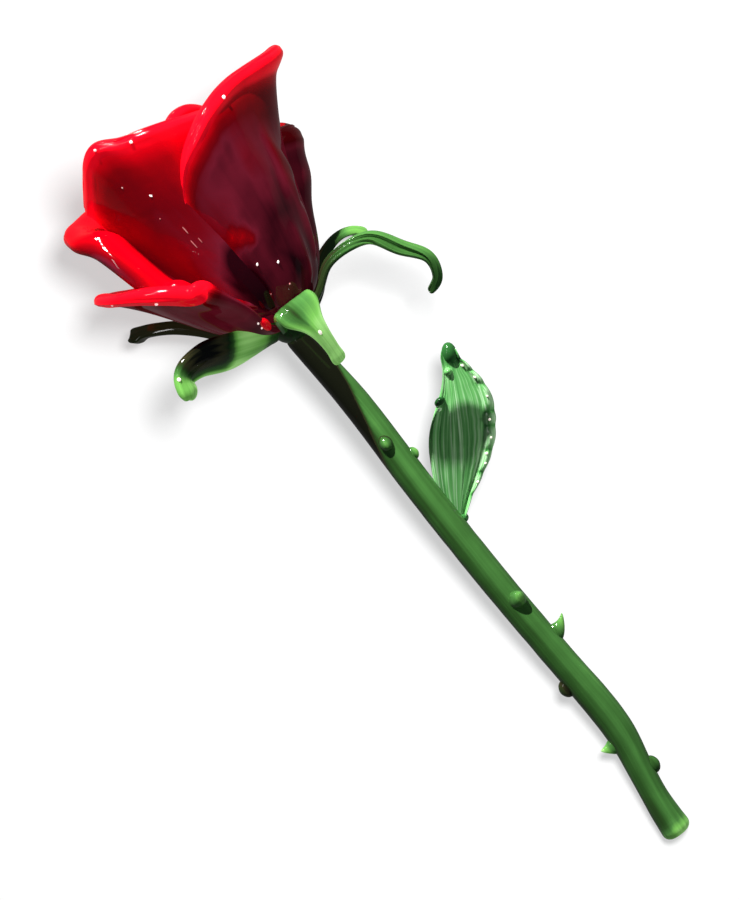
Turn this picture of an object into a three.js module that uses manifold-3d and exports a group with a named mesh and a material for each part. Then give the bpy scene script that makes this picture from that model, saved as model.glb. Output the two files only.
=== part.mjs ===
// A long-stem rose, hot-sculpted from coloured glass and lying on a table.
// It is drawn growing up +Z and seen from -Y, then laid down on the petals and the foot it rests on.

import * as THREE from "three";
import { ConvexHull } from "three/addons/math/ConvexHull.js";
import { mergeVertices } from "three/addons/utils/BufferGeometryUtils.js";
import Module from "manifold-3d";

const wasm = await Module();
wasm.setup();

// Driving dimensions: millimetres, and degrees with azimuth 0 facing the viewer and 90 to the right.
const SEAT_GAP = 0.3; // between two bits of glass that are fused on the real rose

const STEM_LENGTH = 316;
const STEM_DIAMETER = 15.4;
const NECK_DIAMETER = 13;
const WAIST_DIAMETER = 13.6;
const FOOT_DIAMETER = 14.6;
const FOOT_ROUNDING = 2.4;

const CALYX_HEIGHT = 12;
const CALYX_DIAMETER = 24;
const CALYX_DISH = 3; // how far the bloom sits down into the cup

const CORE_DIAMETER = 20;
const CORE_TRUNK = 30; // straight part that the petals are pressed on
const BUD_DIAMETER = 27;
const BUD_HEIGHT = 88; // from the bottom of the core to the tip of the bud

const PETAL_THICKNESS = 4.4;
const RIM_THICKNESS = 5.8;

const SEPAL_THICKNESS = 4.2;

const LEAF_LENGTH = 91;
const LEAF_WIDTH = 31;
const LEAF_THICKNESS = 5;
const LEAF_BEADS = 8; // beads pressed along the right edge
const LEAF_BEAD_SIZE = 2.2; // how far each bead stands out
const LEAF_FOOT_DOWN = 124; // from the top of the stem to the foot of the leaf
const LEAF_LEAN = 33; // from the stem's direction towards the right

const SIDES = 14; // facets round the stem
const EDGE_ROUNDING = 0.07; // share of a petal's width taken by its rounded edge
const LIP_FROM = 0.82; // share of a petal's height where its lip starts
const SIDE_FROM = 0.8; // share of its half width where its side starts to roll

const GREEN = new THREE.MeshStandardMaterial({ color: 0x3f7d3a, roughness: 0.08 });
const PALE_GREEN = new THREE.MeshStandardMaterial({ color: 0x64b45f, roughness: 0.12 });
const RED = new THREE.MeshStandardMaterial({ color: 0x9c0614, roughness: 0.05 });

// Where the stem swings aside: share of its length from the top, then millimetres to the right.
const STEM_BENDS = [
  [0, -3.5], [0.13, 0], [0.3, 0.4], [0.48, 2], [0.63, 4.6],
  [0.76, 7.3], [0.82, 7], [0.88, 4], [0.94, 1.4], [1, 0.5],
];

// Levels along the growing axis, with the bloom's lowest point near zero.
const CALYX_BOTTOM = -7;
const STEM_TOP = CALYX_BOTTOM - SEAT_GAP;
const CORE_BOTTOM = CALYX_BOTTOM + CALYX_HEIGHT - CALYX_DISH + SEAT_GAP;

// Petals, from the inmost out. Each rises along a meridian curve of [radius, height] points: seat on
// the core, belly, shoulder and crest. Across it runs from -1 at its left edge to 1 at its right edge.
// rim: [across, share of the meridian]. turn: [across, degrees that the lip bends out]. sides: degrees
// that the left and right edges roll out. lap: [across, millimetres further out]. tip: a pulled point.
const PETALS = [
  {
    name: "petal_inner_front", azimuth: 27, spread: [40, 54], seat: 21,
    belly: [23, 21], shoulder: [18, 76], crest: [32, 116],
    rim: [[-1, 0.86], [0, 1], [1, 0.84]], lip: 7, turn: [[-1, 20], [1, 30]], sides: [10, 10],
    lap: [[-1, -3.5], [1, 3.5]], tip: { at: 0, width: 0.5, out: 1, up: 2 },
  },
  {
    name: "petal_inner_rear", azimuth: 158, spread: [40, 54], seat: 21,
    belly: [23, 21], shoulder: [18, 72], crest: [32, 108],
    rim: [[-1, 0.86], [0, 1], [1, 0.84]], lip: 7, turn: [[-1, 20], [1, 30]], sides: [10, 10],
    lap: [[-1, -3.5], [1, 3.5]], tip: { at: 0, width: 0.5, out: 1, up: 2 },
  },
  {
    name: "petal_inner_left", azimuth: 278, spread: [40, 54], seat: 21,
    belly: [23, 21], shoulder: [18, 74], crest: [32, 110],
    rim: [[-1, 0.86], [0, 1], [1, 0.84]], lip: 7, turn: [[-1, 20], [1, 30]], sides: [10, 10],
    lap: [[-1, -3.5], [1, 3.5]], tip: { at: 0, width: 0.5, out: 1, up: 2 },
  },
  {
    name: "petal_front", azimuth: -21, spread: [34, 58], seat: 13.5,
    belly: [36, 13], shoulder: [33, 71], crest: [48, 131],
    rim: [[-1, 0.815], [-0.6, 0.93], [-0.22, 0.99], [0.12, 0.955], [1, 0.88]], lip: 9,
    turn: [[-1, 20], [-0.4, 25], [1, 15]], sides: [15, 10],
    lap: [[-1, 0], [1, 0]], tip: { at: -0.35, width: 0.3, out: 2, up: 2 },
  },
  {
    name: "petal_right_rear", azimuth: 108, spread: [34, 40], seat: 9.5,
    belly: [33, 8], shoulder: [37, 52], crest: [54, 79],
    rim: [[-1, 0.9], [-0.5, 0.98], [-0.1, 0.92], [0.4, 0.99], [1, 0.88]], lip: 8,
    turn: [[-1, 20], [1, 60]], sides: [10, 40],
    lap: [[-1, -10], [-0.6, -10], [-0.2, 2], [0.3, 1], [1, -10]],
    tip: { at: 0, width: 0.4, out: 2, up: 1 },
  },
  {
    name: "petal_rear", azimuth: 180, spread: [34, 31], seat: 9.5,
    belly: [36, 8], shoulder: [38, 60], crest: [50, 98],
    rim: [[-1, 0.93], [0, 0.98], [1, 0.93]], lip: 9,
    turn: [[-1, 55], [0, 30], [1, 55]], sides: [40, 40],
    lap: [[-1, 6], [0, -6], [1, 6]], tip: { at: 0, width: 0.5, out: 0, up: 1 },
  },
  {
    name: "petal_left", azimuth: -100, spread: [34, 39], seat: 9.5,
    belly: [36, 8], shoulder: [38, 58], crest: [56, 100],
    rim: [[-1, 0.92], [-0.4, 0.99], [0.3, 0.95], [1, 0.82]], lip: 13,
    turn: [[-1, 30], [0, 70], [1, 75]], sides: [10, 95],
    lap: [[-1, -6], [0.2, 1], [1, 5]], tip: { at: 0.15, width: 0.4, out: 3, up: 0 },
  },
  {
    name: "petal_tall_right", azimuth: 40, spread: [34, 39], seat: 8,
    belly: [31, 5], shoulder: [38, 60], crest: [55, 119],
    rim: [[-1, 0.79], [-0.6, 0.92], [-0.1, 0.97], [0.5, 0.965], [1, 0.93]], lip: 9,
    turn: [[-1, 50], [0, 40], [1, 30]], sides: [60, 30],
    lap: [[-1, 2], [0, 4], [1, 3]], tip: { at: 0.9, width: 0.4, out: 18, up: 1 },
  },
  {
    name: "petal_low_left", azimuth: -77, spread: [30, 41], seat: 4.6,
    belly: [30, 2], shoulder: [38, 40], crest: [67, 67],
    rim: [[-1, 0.8], [-0.1, 0.99], [0.5, 0.9], [1, 0.76]], lip: 9,
    turn: [[-1, 30], [0, 40], [1, 60]], sides: [30, 60],
    lap: [[-1, 2], [1, 3]], tip: { at: -0.1, width: 0.4, out: 2, up: 0 },
  },
];

// Sepals. azimuth: at the root and at the tip. path: [distance from the axis, height] from the calyx to
// the tip. width: [place along, millimetres]. tilt: degrees that the blade turns about its own length.
const SEPALS = [
  {
    name: "sepal_front", azimuth: [2, 18], tilt: [0, 0], cup: 2,
    path: [[9, 2], [21, 8], [31, 8], [32, -4], [27, -17], [20, -27]],
    width: [[0, 18], [0.3, 25], [0.5, 17], [0.65, 9], [0.8, 5], [0.93, 6.5], [1, 5]],
  },
  {
    name: "sepal_right", azimuth: [52, 76], tilt: [0, 25], cup: 1,
    path: [[9, 1], [24, 8], [37, 17], [52, 18], [62, 14.5], [69.5, 1.5], [77, -10], [73.5, -21], [65, -26]],
    width: [[0, 16], [0.2, 12], [0.4, 5.5], [0.62, 8], [0.85, 4.5], [1, 3.2]],
  },
  {
    name: "sepal_right_rear", azimuth: [122, 122], tilt: [0, 10], cup: 1,
    path: [[9, 0], [20, 5], [34, 16], [48, 20], [59, 18], [66, 11]],
    width: [[0, 16], [0.25, 11], [0.5, 6], [0.9, 5.5], [1, 4]],
  },
  {
    name: "sepal_left", azimuth: [-66, -66], tilt: [20, 55], cup: 3,
    path: [[9, 1], [22, 4], [38, 9], [54, 15], [66, 14], [70, 4]],
    width: [[0, 16], [0.4, 24], [0.7, 15], [0.88, 6], [1, 5]],
  },
  {
    name: "sepal_left_rear", azimuth: [-112, -112], tilt: [0, 20], cup: 1,
    path: [[9, 0], [20, 3], [30, 11], [42, 23.5], [56, 34], [69, 40], [77, 41]],
    width: [[0, 16], [0.3, 14], [0.7, 10], [0.88, 7], [1, 7]],
  },
];

// Thorns, top to bottom: millimetres down from the top of the stem, size and the lift of the tip.
const THORNS = [
  { down: 67, azimuth: -4, length: 4, width: 6.5, height: 8, lift: 0, blunt: 0.75 },
  { down: 80, azimuth: 86, length: 2.6, width: 6, height: 7, lift: 0, blunt: 0.7 },
  { down: 170, azimuth: 22, length: 7.5, width: 8, height: 10, lift: 3, blunt: 0.45 },
  { down: 196, azimuth: 86, length: 8, width: 6.5, height: 10, lift: 5, blunt: 0.25 },
  { down: 222, azimuth: -86, length: 3.6, width: 7, height: 10, lift: 0, blunt: 0.7 },
  { down: 260, azimuth: -86, length: 5.5, width: 6, height: 9, lift: 2, blunt: 0.3 },
  { down: 279, azimuth: 86, length: 3.4, width: 6, height: 8, lift: 0, blunt: 0.7 },
];

const radians = THREE.MathUtils.degToRad;
const mix = THREE.MathUtils.lerp;

// Direction away from the growing axis at an azimuth in degrees.
function outward(azimuth) {
  return new THREE.Vector3(Math.sin(radians(azimuth)), -Math.cos(radians(azimuth)), 0);
}

// Smooth curve through [place, value] stations, in rising order of place.
function blend(stations, place) {
  const last = stations.length - 1;
  const x = THREE.MathUtils.clamp(place, stations[0][0], stations[last][0]);
  let k = 0;
  while (k < last - 1 && x > stations[k + 1][0]) k += 1;
  const slope = (i) => {
    const [x0, y0] = stations[Math.max(i - 1, 0)];
    const [x1, y1] = stations[Math.min(i + 1, last)];
    return (y1 - y0) / (x1 - x0);
  };
  const [xa, ya] = stations[k];
  const [xb, yb] = stations[k + 1];
  const step = xb - xa;
  const t = (x - xa) / step;
  const rise = t * t * (3 - 2 * t);
  const swing = t * (1 - t) * step;
  return mix(ya, yb, rise) + swing * ((1 - t) * slope(k) - t * slope(k + 1));
}

// Closed solid between rings of points, each ring counterclockwise about the way from first to last.
function loft(rings) {
  const count = rings[0].length;
  const centre = (ring) => ring.reduce((sum, p) => sum.add(p), new THREE.Vector3()).divideScalar(count);
  const points = [...rings.flat(), centre(rings[0]), centre(rings[rings.length - 1])];
  const first = rings.length * count;
  const index = [];
  for (let j = 0; j < count; j += 1) {
    const next = (j + 1) % count;
    const end = (rings.length - 1) * count;
    index.push(first, next, j, first + 1, end + j, end + next);
    for (let k = 0; k < rings.length - 1; k += 1) {
      const low = k * count;
      const high = low + count;
      index.push(low + j, low + next, high + next, low + j, high + next, high + j);
    }
  }
  return new THREE.BufferGeometry().setFromPoints(points).setIndex(index);
}

// Sheet of glass with rounded edges, from a middle surface and its half thickness, both functions of
// u from -1 to 1 across and v from 0 to 1 along. The front and back share their border points.
function sheet(middle, halfThickness, columns, rows) {
  const lines = (count) => {
    const place = (i) => mix(EDGE_ROUNDING, 1 - EDGE_ROUNDING, i / count);
    const inner = Array.from({ length: count + 1 }, (_, i) => place(i));
    return [0, EDGE_ROUNDING * 0.3, ...inner, 1 - EDGE_ROUNDING * 0.3, 1];
  };
  const rounded = (share) => {
    const depth = Math.min(share, 1 - share) / EDGE_ROUNDING;
    return depth >= 1 ? 1 : Math.sqrt(1 - (1 - depth) ** 2);
  };
  const across = lines(columns);
  const along = lines(rows);
  const small = 1e-3;
  const front = [];
  const back = [];
  for (const b of along) {
    for (const a of across) {
      const u = 2 * a - 1;
      const du = middle(u + small, b).sub(middle(u - small, b));
      const dv = middle(u, b + small).sub(middle(u, b - small));
      const half = halfThickness(u, b) * rounded(a) * rounded(b);
      const normal = du.cross(dv).normalize();
      const point = middle(u, b);
      front.push(point.clone().addScaledVector(normal, half));
      back.push(point.addScaledVector(normal, -half));
    }
  }
  const width = across.length;
  const height = along.length;
  const border = (i, j) => i === 0 || j === 0 || i === width - 1 || j === height - 1;
  const frontAt = (i, j) => j * width + i;
  const backAt = (i, j) => (border(i, j) ? 0 : width * height) + frontAt(i, j);
  const index = [];
  for (let j = 0; j < height - 1; j += 1) {
    for (let i = 0; i < width - 1; i += 1) {
      for (const [at, order] of [[frontAt, [0, 1, 2, 0, 2, 3]], [backAt, [0, 2, 1, 0, 3, 2]]]) {
        const corners = [at(i, j), at(i + 1, j), at(i + 1, j + 1), at(i, j + 1)];
        index.push(...order.map((corner) => corners[corner]));
      }
    }
  }
  return new THREE.BufferGeometry().setFromPoints([...front, ...back]).setIndex(index);
}

// Closed solid for cutting, with its points joined and its empty triangles left out.
function solidOf(geometry) {
  const bare = new THREE.BufferGeometry();
  bare.setAttribute("position", geometry.getAttribute("position"));
  bare.setIndex(geometry.getIndex());
  const joined = mergeVertices(bare, 1e-4);
  const index = joined.getIndex().array;
  const triangles = [];
  for (let i = 0; i < index.length; i += 3) {
    const [a, b, c] = index.slice(i, i + 3);
    if (a !== b && b !== c && c !== a) triangles.push(a, b, c);
  }
  return new wasm.Manifold(new wasm.Mesh({
    numProp: 3,
    vertProperties: Float32Array.from(joined.getAttribute("position").array),
    triVerts: Uint32Array.from(triangles),
  }));
}

// What is left of a solid after its neighbours are cut away: its largest body.
function trimmed(solid, neighbours) {
  const rest = neighbours.reduce((left, neighbour) => left.subtract(neighbour), solid);
  const bodies = rest.simplify(0.02).decompose();
  return bodies.reduce((best, body) => (body.volume() > best.volume() ? body : best));
}

function meshOf(name, solid, material) {
  const { vertProperties, triVerts } = solid.getMesh();
  const geometry = new THREE.BufferGeometry();
  geometry.setAttribute("position", new THREE.BufferAttribute(vertProperties, 3));
  geometry.setIndex(new THREE.BufferAttribute(triVerts, 1));
  geometry.computeVertexNormals();
  const mesh = new THREE.Mesh(geometry, material);
  mesh.name = name;
  return mesh;
}

// Body turned about an upright axis from [radius, height] points that start and end on it.
function turned(profile, axisRight) {
  const points = profile.map(([radius, height]) => new THREE.Vector2(radius, height));
  return solidOf(new THREE.LatheGeometry(points, SIDES).rotateX(Math.PI / 2).translate(axisRight, 0, 0));
}

// Stem: a bowed rod of changing thickness, with a rounded foot that ends in a flat face.
const stemGirth = [
  [0, NECK_DIAMETER], [0.16, STEM_DIAMETER], [0.66, STEM_DIAMETER], [0.77, STEM_DIAMETER + 0.8],
  [0.9, WAIST_DIAMETER], [1, FOOT_DIAMETER],
];

// Middle of the stem at a depth below its top.
function stemAt(down) {
  return new THREE.Vector3(blend(STEM_BENDS, down / STEM_LENGTH), 0, STEM_TOP - down);
}

function stemRing(down, radius) {
  const middle = stemAt(down);
  return Array.from({ length: SIDES }, (_, j) => {
    const angle = -2 * Math.PI * j / SIDES;
    return new THREE.Vector3(radius * Math.cos(angle), radius * Math.sin(angle), 0).add(middle);
  });
}

function stemSolid(grow) {
  const radiusAt = (down) => blend(stemGirth, down / STEM_LENGTH) / 2 + grow;
  const straight = STEM_LENGTH - FOOT_ROUNDING;
  const steps = 24;
  const rings = Array.from({ length: steps + 1 }, (_, k) => {
    const down = straight * k / steps;
    return stemRing(down, radiusAt(down));
  });
  for (const turn of [30, 60, 90]) {
    const down = straight + FOOT_ROUNDING * Math.sin(radians(turn));
    rings.push(stemRing(down, radiusAt(straight) - FOOT_ROUNDING * (1 - Math.cos(radians(turn)))));
  }
  return solidOf(loft(rings));
}

// Core of the bloom: a trunk that swells into a pointed bud.
function coreSolid(grow) {
  const trunk = CORE_DIAMETER / 2 + grow;
  const bud = BUD_DIAMETER / 2 + grow;
  const top = CORE_BOTTOM + BUD_HEIGHT + grow;
  const neck = CORE_BOTTOM + CORE_TRUNK;
  const swell = new THREE.CubicBezierCurve(
    new THREE.Vector2(trunk, neck),
    new THREE.Vector2(bud + 2, mix(neck, top, 0.4)),
    new THREE.Vector2(bud, mix(neck, top, 0.75)),
    new THREE.Vector2(0, top),
  );
  const flank = swell.getPoints(9).map((point) => [Math.max(point.x, 0), point.y]);
  return turned([[0, CORE_BOTTOM - grow], [trunk, CORE_BOTTOM - grow], ...flank], 0);
}

// How far a rolled edge runs forward and out, at a share of its length, when it bends along an arc.
function rolled(length, degrees, share) {
  const turn = radians(Math.max(degrees, 1));
  const radius = length / turn;
  return { forward: radius * Math.sin(turn * share), out: radius * (1 - Math.cos(turn * share)) };
}

// Middle surface of a petal: up its meridian, then over the lip at the top and the rolls at the sides.
function petalMiddle(petal) {
  const { azimuth, spread, belly, shoulder, crest, tip } = petal;
  const meridian = new THREE.CubicBezierCurve(
    new THREE.Vector2(CORE_DIAMETER / 2 - 2.5, petal.seat),
    new THREE.Vector2(...belly),
    new THREE.Vector2(...shoulder),
    new THREE.Vector2(...crest),
  );
  return (u, v) => {
    const across = THREE.MathUtils.clamp(u / SIDE_FROM, -1, 1);
    const open = THREE.MathUtils.smoothstep(v, 0, 0.6);
    const climb = Math.min(blend(petal.rim, across), 0.999) * Math.min(v / LIP_FROM, 1);
    const place = meridian.getPoint(climb);
    const along = meridian.getTangent(climb);
    const above = Math.max(0, (v - LIP_FROM) / (1 - LIP_FROM));
    const beyond = Math.max(0, (Math.abs(u) - SIDE_FROM) / (1 - SIDE_FROM));
    const lip = rolled(petal.lip, blend(petal.turn, across), above * Math.sqrt(1 - beyond ** 2 / 2));
    const side = rolled(
      mix(2, petal.lip, open),
      petal.sides[u < 0 ? 0 : 1] * open,
      beyond * Math.sqrt(1 - above ** 2 / 2),
    );
    const fromTip = (across - tip.at) / tip.width;
    const pull = Math.exp(-(fromTip ** 2)) * THREE.MathUtils.smoothstep(v, 0.6, 1);
    const angle = azimuth + across * mix(spread[0], spread[1], open);
    const rolledOut = Math.hypot(along.y * lip.out, side.out) + along.x * lip.forward;
    const radius = place.x + rolledOut + blend(petal.lap, across) * open + tip.out * pull;
    return outward(angle).multiplyScalar(radius)
      .addScaledVector(outward(angle + 90), Math.sign(u) * side.forward)
      .setZ(place.y + along.y * lip.forward - along.x * lip.out + tip.up * pull);
  };
}

function petalSolid(petal, grow) {
  const half = (u, v) => {
    const toRim = THREE.MathUtils.smoothstep(v, 0.55, 0.95);
    return mix(PETAL_THICKNESS, RIM_THICKNESS, toRim) / 2 + grow;
  };
  return solidOf(sheet(petalMiddle(petal), half, 11, 10));
}

// Blade along a curve: width across, thickness, a tilt about its length and a hollow upper side.
function bladeMiddle(line, sideways, width, tilt, cup) {
  return (u, v) => {
    const place = line.getPoint(THREE.MathUtils.clamp(v, 0, 1));
    const along = line.getTangent(THREE.MathUtils.clamp(v, 0, 1));
    const side = sideways.clone().addScaledVector(along, -sideways.dot(along)).normalize();
    side.applyAxisAngle(along, radians(mix(tilt[0], tilt[1], v)));
    const face = side.clone().cross(along);
    place.addScaledVector(along, (v - THREE.MathUtils.clamp(v, 0, 1)) * line.getLength());
    return place.addScaledVector(side, u * width(u, v) / 2).addScaledVector(face, -cup * u * u);
  };
}

function sepalSolid(sepal, grow) {
  const [root, tip] = sepal.azimuth;
  const line = new THREE.CatmullRomCurve3(sepal.path.map(([reach, height], i) => {
    const azimuth = mix(root, tip, i / (sepal.path.length - 1));
    return outward(azimuth).multiplyScalar(reach).setZ(height);
  }));
  const width = (u, v) => blend(sepal.width, v);
  const half = (u, v) => {
    const toTip = THREE.MathUtils.smoothstep(v, 0.8, 0.95);
    return SEPAL_THICKNESS * mix(1, 1.25, toTip) / 2 + grow;
  };
  const sideways = outward(mix(root, tip, 0.5) + 90);
  return solidOf(sheet(bladeMiddle(line, sideways, width, sepal.tilt, sepal.cup), half, 3, 12));
}

function leafSolid() {
  const foot = stemAt(LEAF_FOOT_DOWN).add(new THREE.Vector3(STEM_DIAMETER * 0.2, 2, 0));
  const lean = radians(LEAF_LEAN);
  const along = new THREE.Vector3(Math.sin(lean), 0, Math.cos(lean));
  const line = new THREE.CatmullRomCurve3([
    foot,
    foot.clone().addScaledVector(along, LEAF_LENGTH / 2).add(new THREE.Vector3(2.9, -3, -1.9)),
    foot.clone().addScaledVector(along, LEAF_LENGTH),
  ]);
  const outline = [[0, 0.18], [0.18, 0.52], [0.45, 1], [0.7, 0.84], [0.88, 0.4], [1, 0.2]];
  const bead = (u, v) => (u > 0 ? LEAF_BEAD_SIZE * Math.abs(Math.sin(Math.PI * LEAF_BEADS * v)) : 0);
  const width = (u, v) => LEAF_WIDTH * blend(outline, v) + 2 * bead(u, v);
  const half = (u, v) => LEAF_THICKNESS / 2;
  const sideways = new THREE.Vector3(Math.cos(lean), 0, -Math.sin(lean));
  return solidOf(sheet(bladeMiddle(line, sideways, width, [0, 0], 2), half, 3, 26));
}

// Thorn: a drop of glass on the stem, pulled out and lifted at the tip.
function thornSolid(thorn) {
  const root = stemAt(thorn.down);
  const out = outward(thorn.azimuth);
  const side = outward(thorn.azimuth + 90);
  const up = new THREE.Vector3(0, 0, 1);
  const stemRadius = blend(stemGirth, thorn.down / STEM_LENGTH) / 2;
  const slices = [
    [-0.45, 1.05], [0, 1],
    [0.3, mix(0.62, 0.94, thorn.blunt)], [0.65, mix(0.3, 0.74, thorn.blunt)],
    [0.9, mix(0.14, 0.4, thorn.blunt)], [1, mix(0.06, 0.14, thorn.blunt)],
  ];
  const rings = slices.map(([share, girth]) => {
    const lift = thorn.lift * Math.max(0, share) ** 2;
    const reach = stemRadius + share * thorn.length;
    const middle = root.clone().addScaledVector(out, reach).addScaledVector(up, lift);
    return Array.from({ length: 10 }, (_, j) => {
      const angle = 2 * Math.PI * j / 10;
      return middle.clone()
        .addScaledVector(side, girth * thorn.width / 2 * Math.cos(angle))
        .addScaledVector(up, girth * thorn.height / 2 * Math.sin(angle));
    });
  });
  return solidOf(loft(rings));
}

// Every piece is cut where its neighbours already are, so that it seats on them.
const pieces = [];
const bloom = [coreSolid(SEAT_GAP)];
pieces.push(["bud_core", coreSolid(0), RED]);
for (const petal of PETALS) {
  pieces.push([petal.name, trimmed(petalSolid(petal, 0), bloom), RED]);
  bloom.push(petalSolid(petal, SEAT_GAP));
}

function calyxSolid(grow) {
  const rim = CALYX_DIAMETER / 2 + grow;
  const low = NECK_DIAMETER / 2 + grow;
  const top = CALYX_BOTTOM + CALYX_HEIGHT;
  return turned([
    [0, CALYX_BOTTOM - grow],
    [low, CALYX_BOTTOM - grow],
    [mix(low, rim, 0.6), CALYX_BOTTOM + CALYX_HEIGHT * 0.3],
    [rim, CALYX_BOTTOM + CALYX_HEIGHT * 0.75],
    [rim - 1, top],
    [0, top],
  ], STEM_BENDS[0][1] / 2);
}

pieces.push(["calyx", trimmed(calyxSolid(0), bloom), GREEN]);
pieces.push(["stem", stemSolid(0), GREEN]);
const green = [calyxSolid(SEAT_GAP), stemSolid(SEAT_GAP)];
for (const sepal of SEPALS) {
  pieces.push([sepal.name, trimmed(sepalSolid(sepal, 0), [...bloom, ...green]), GREEN]);
  green.push(sepalSolid(sepal, SEAT_GAP));
}
pieces.push(["leaf", trimmed(leafSolid(), green), PALE_GREEN]);
THORNS.forEach((thorn, i) => {
  pieces.push([`thorn_${i + 1}`, trimmed(thornSolid(thorn), green), GREEN]);
});

// The rose lies on the hull face below its centre of mass that looks most nearly away from the viewer.
function restingFace(solids) {
  const points = [];
  const centre = new THREE.Vector3();
  let volume = 0;
  for (const solid of solids) {
    const { vertProperties, triVerts } = solid.getMesh();
    const at = (i) => new THREE.Vector3().fromArray(vertProperties, 3 * triVerts[i]);
    for (let i = 0; i < triVerts.length; i += 3) {
      const [a, b, c] = [at(i), at(i + 1), at(i + 2)];
      const part = a.dot(b.clone().cross(c)) / 6;
      volume += part;
      centre.addScaledVector(a.clone().add(b).add(c), part / 4);
      points.push(a, b, c);
    }
  }
  centre.divideScalar(volume);
  const faces = new ConvexHull().setFromPoints(points).faces.filter((face) => {
    const drop = face.constant - face.normal.dot(centre);
    const foot = centre.clone().addScaledVector(face.normal, drop);
    const corners = [face.edge, face.edge.next, face.edge.prev].map((edge) => edge.head().point);
    return new THREE.Triangle(...corners).containsPoint(foot);
  });
  return faces.reduce((best, face) => (face.normal.y > best.normal.y ? face : best));
}

const down = restingFace(pieces.map(([, solid]) => solid)).normal;
const length = new THREE.Vector3(0, 0, 1).addScaledVector(down, -down.z).normalize();
const aside = down.clone().negate().cross(length);
const lay = new THREE.Matrix4().makeBasis(length, aside, down.clone().negate()).invert();

const rose = new THREE.Group();
rose.quaternion.setFromRotationMatrix(lay);
for (const [name, solid, material] of pieces) rose.add(meshOf(name, solid, material));
rose.updateMatrixWorld(true);
const box = new THREE.Box3().setFromObject(rose, true);
rose.position.set(-(box.min.x + box.max.x) / 2, -(box.min.y + box.max.y) / 2, -box.min.z);

const part = new THREE.Group();
part.add(rose);
export default part;
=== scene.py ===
"""A long-stem rose, hot-sculpted from coloured glass and lying on a pale table.

Each piece is drawn in millimetres as it grows, up +Z and seen from -Y, with azimuth 0 towards the
viewer and 90 to the right. It is then laid down in the metres of the frame. A place on a sheet of
glass is given by u, from -1 to 1 across it, and v, from 0 to 1 along it.
"""

from __future__ import annotations

import logging
import math
from abc import ABC, abstractmethod
from collections.abc import Iterable, Sequence
from dataclasses import dataclass, field
from enum import Enum
from typing import TypeVar

import bmesh
import bpy
from mathutils import Matrix, Vector, noise


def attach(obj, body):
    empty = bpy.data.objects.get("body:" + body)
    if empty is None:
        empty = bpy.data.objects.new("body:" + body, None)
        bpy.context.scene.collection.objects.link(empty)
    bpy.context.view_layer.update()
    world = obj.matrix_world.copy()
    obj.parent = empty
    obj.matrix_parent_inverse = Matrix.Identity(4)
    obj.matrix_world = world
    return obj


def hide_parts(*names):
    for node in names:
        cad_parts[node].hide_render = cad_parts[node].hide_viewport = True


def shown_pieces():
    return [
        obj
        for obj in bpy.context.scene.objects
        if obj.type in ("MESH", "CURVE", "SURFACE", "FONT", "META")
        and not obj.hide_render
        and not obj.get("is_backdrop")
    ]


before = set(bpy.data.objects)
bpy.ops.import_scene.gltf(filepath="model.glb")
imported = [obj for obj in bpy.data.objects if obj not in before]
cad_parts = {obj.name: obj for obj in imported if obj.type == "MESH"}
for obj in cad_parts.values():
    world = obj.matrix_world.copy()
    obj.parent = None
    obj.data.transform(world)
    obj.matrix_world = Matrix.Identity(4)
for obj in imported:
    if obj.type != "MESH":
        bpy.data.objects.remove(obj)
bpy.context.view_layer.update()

LOG = logging.getLogger("glass_rose")

Pair = tuple[float, float]
Stations = Sequence[Pair]
Colour = tuple[float, float, float]
Ramp = tuple[tuple[float, Colour], ...]
Mesh = bmesh.types.BMesh
Piece = bpy.types.Object
Tree = bpy.types.NodeTree
Socket = bpy.types.NodeSocket
Value = TypeVar("Value")

PAINTED_GLINT_COLOUR = (0.9, 0.75, 0.72)
STEM_TOP = -7.3
CORE_BOTTOM = 2.3
LEVEL: Stations = ((0, 0), (1, 0))


class Slot(Enum):
    """Material slots of the record."""

    RED = "red_glass"
    GREEN = "green_glass"
    LEAF = "pale_green_glass"


class Face(Enum):
    """The two faces of a sheet of glass."""

    OUTER = 1
    INNER = -1


class Ray(Enum):
    """Kind of reflection that a lamp is left out of."""

    GLOSSY = "visible_glossy"
    DIFFUSE = "visible_diffuse"


def mix(a: float, b: float, share: float) -> float:
    """Value between two others."""
    return a + (b - a) * share


def clamp(x: float, low: float, high: float) -> float:
    """Value kept between two limits."""
    return max(low, min(high, x))


def smoothstep(x: float, low: float, high: float) -> float:
    """Smooth rise from 0 at low to 1 at high."""
    t = clamp((x - low) / (high - low), 0.0, 1.0)
    return t * t * (3 - 2 * t)


def bell(x: float, centre: float, width: float) -> float:
    """Smooth hump of height 1."""
    return math.exp(-(((x - centre) / width) ** 2))


def by_side(pair: tuple[Value, Value], u: float) -> Value:
    """The first of two values left of the middle of a sheet, the second right of it."""
    return pair[0 if u < 0 else 1]


def blend(stations: Stations, place: float) -> float:
    """Reads a smooth curve through stations.

    Args:
        stations: Pairs of place and value, in rising order of place.
        place: Where the curve is read.

    Returns:
        The value there, held at the ends.
    """
    last = len(stations) - 1
    x = clamp(place, stations[0][0], stations[last][0])
    k = 0
    while k < last - 1 and x > stations[k + 1][0]:
        k += 1

    def slope(i: int) -> float:
        """Slope of the curve at a station."""
        x0, y0 = stations[max(i - 1, 0)]
        x1, y1 = stations[min(i + 1, last)]
        return (y1 - y0) / (x1 - x0)

    (xa, ya), (xb, yb) = stations[k], stations[k + 1]
    step = xb - xa
    t = (x - xa) / step
    swing = t * (1 - t) * step
    return mix(ya, yb, t * t * (3 - 2 * t)) + swing * ((1 - t) * slope(k) - t * slope(k + 1))


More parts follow.
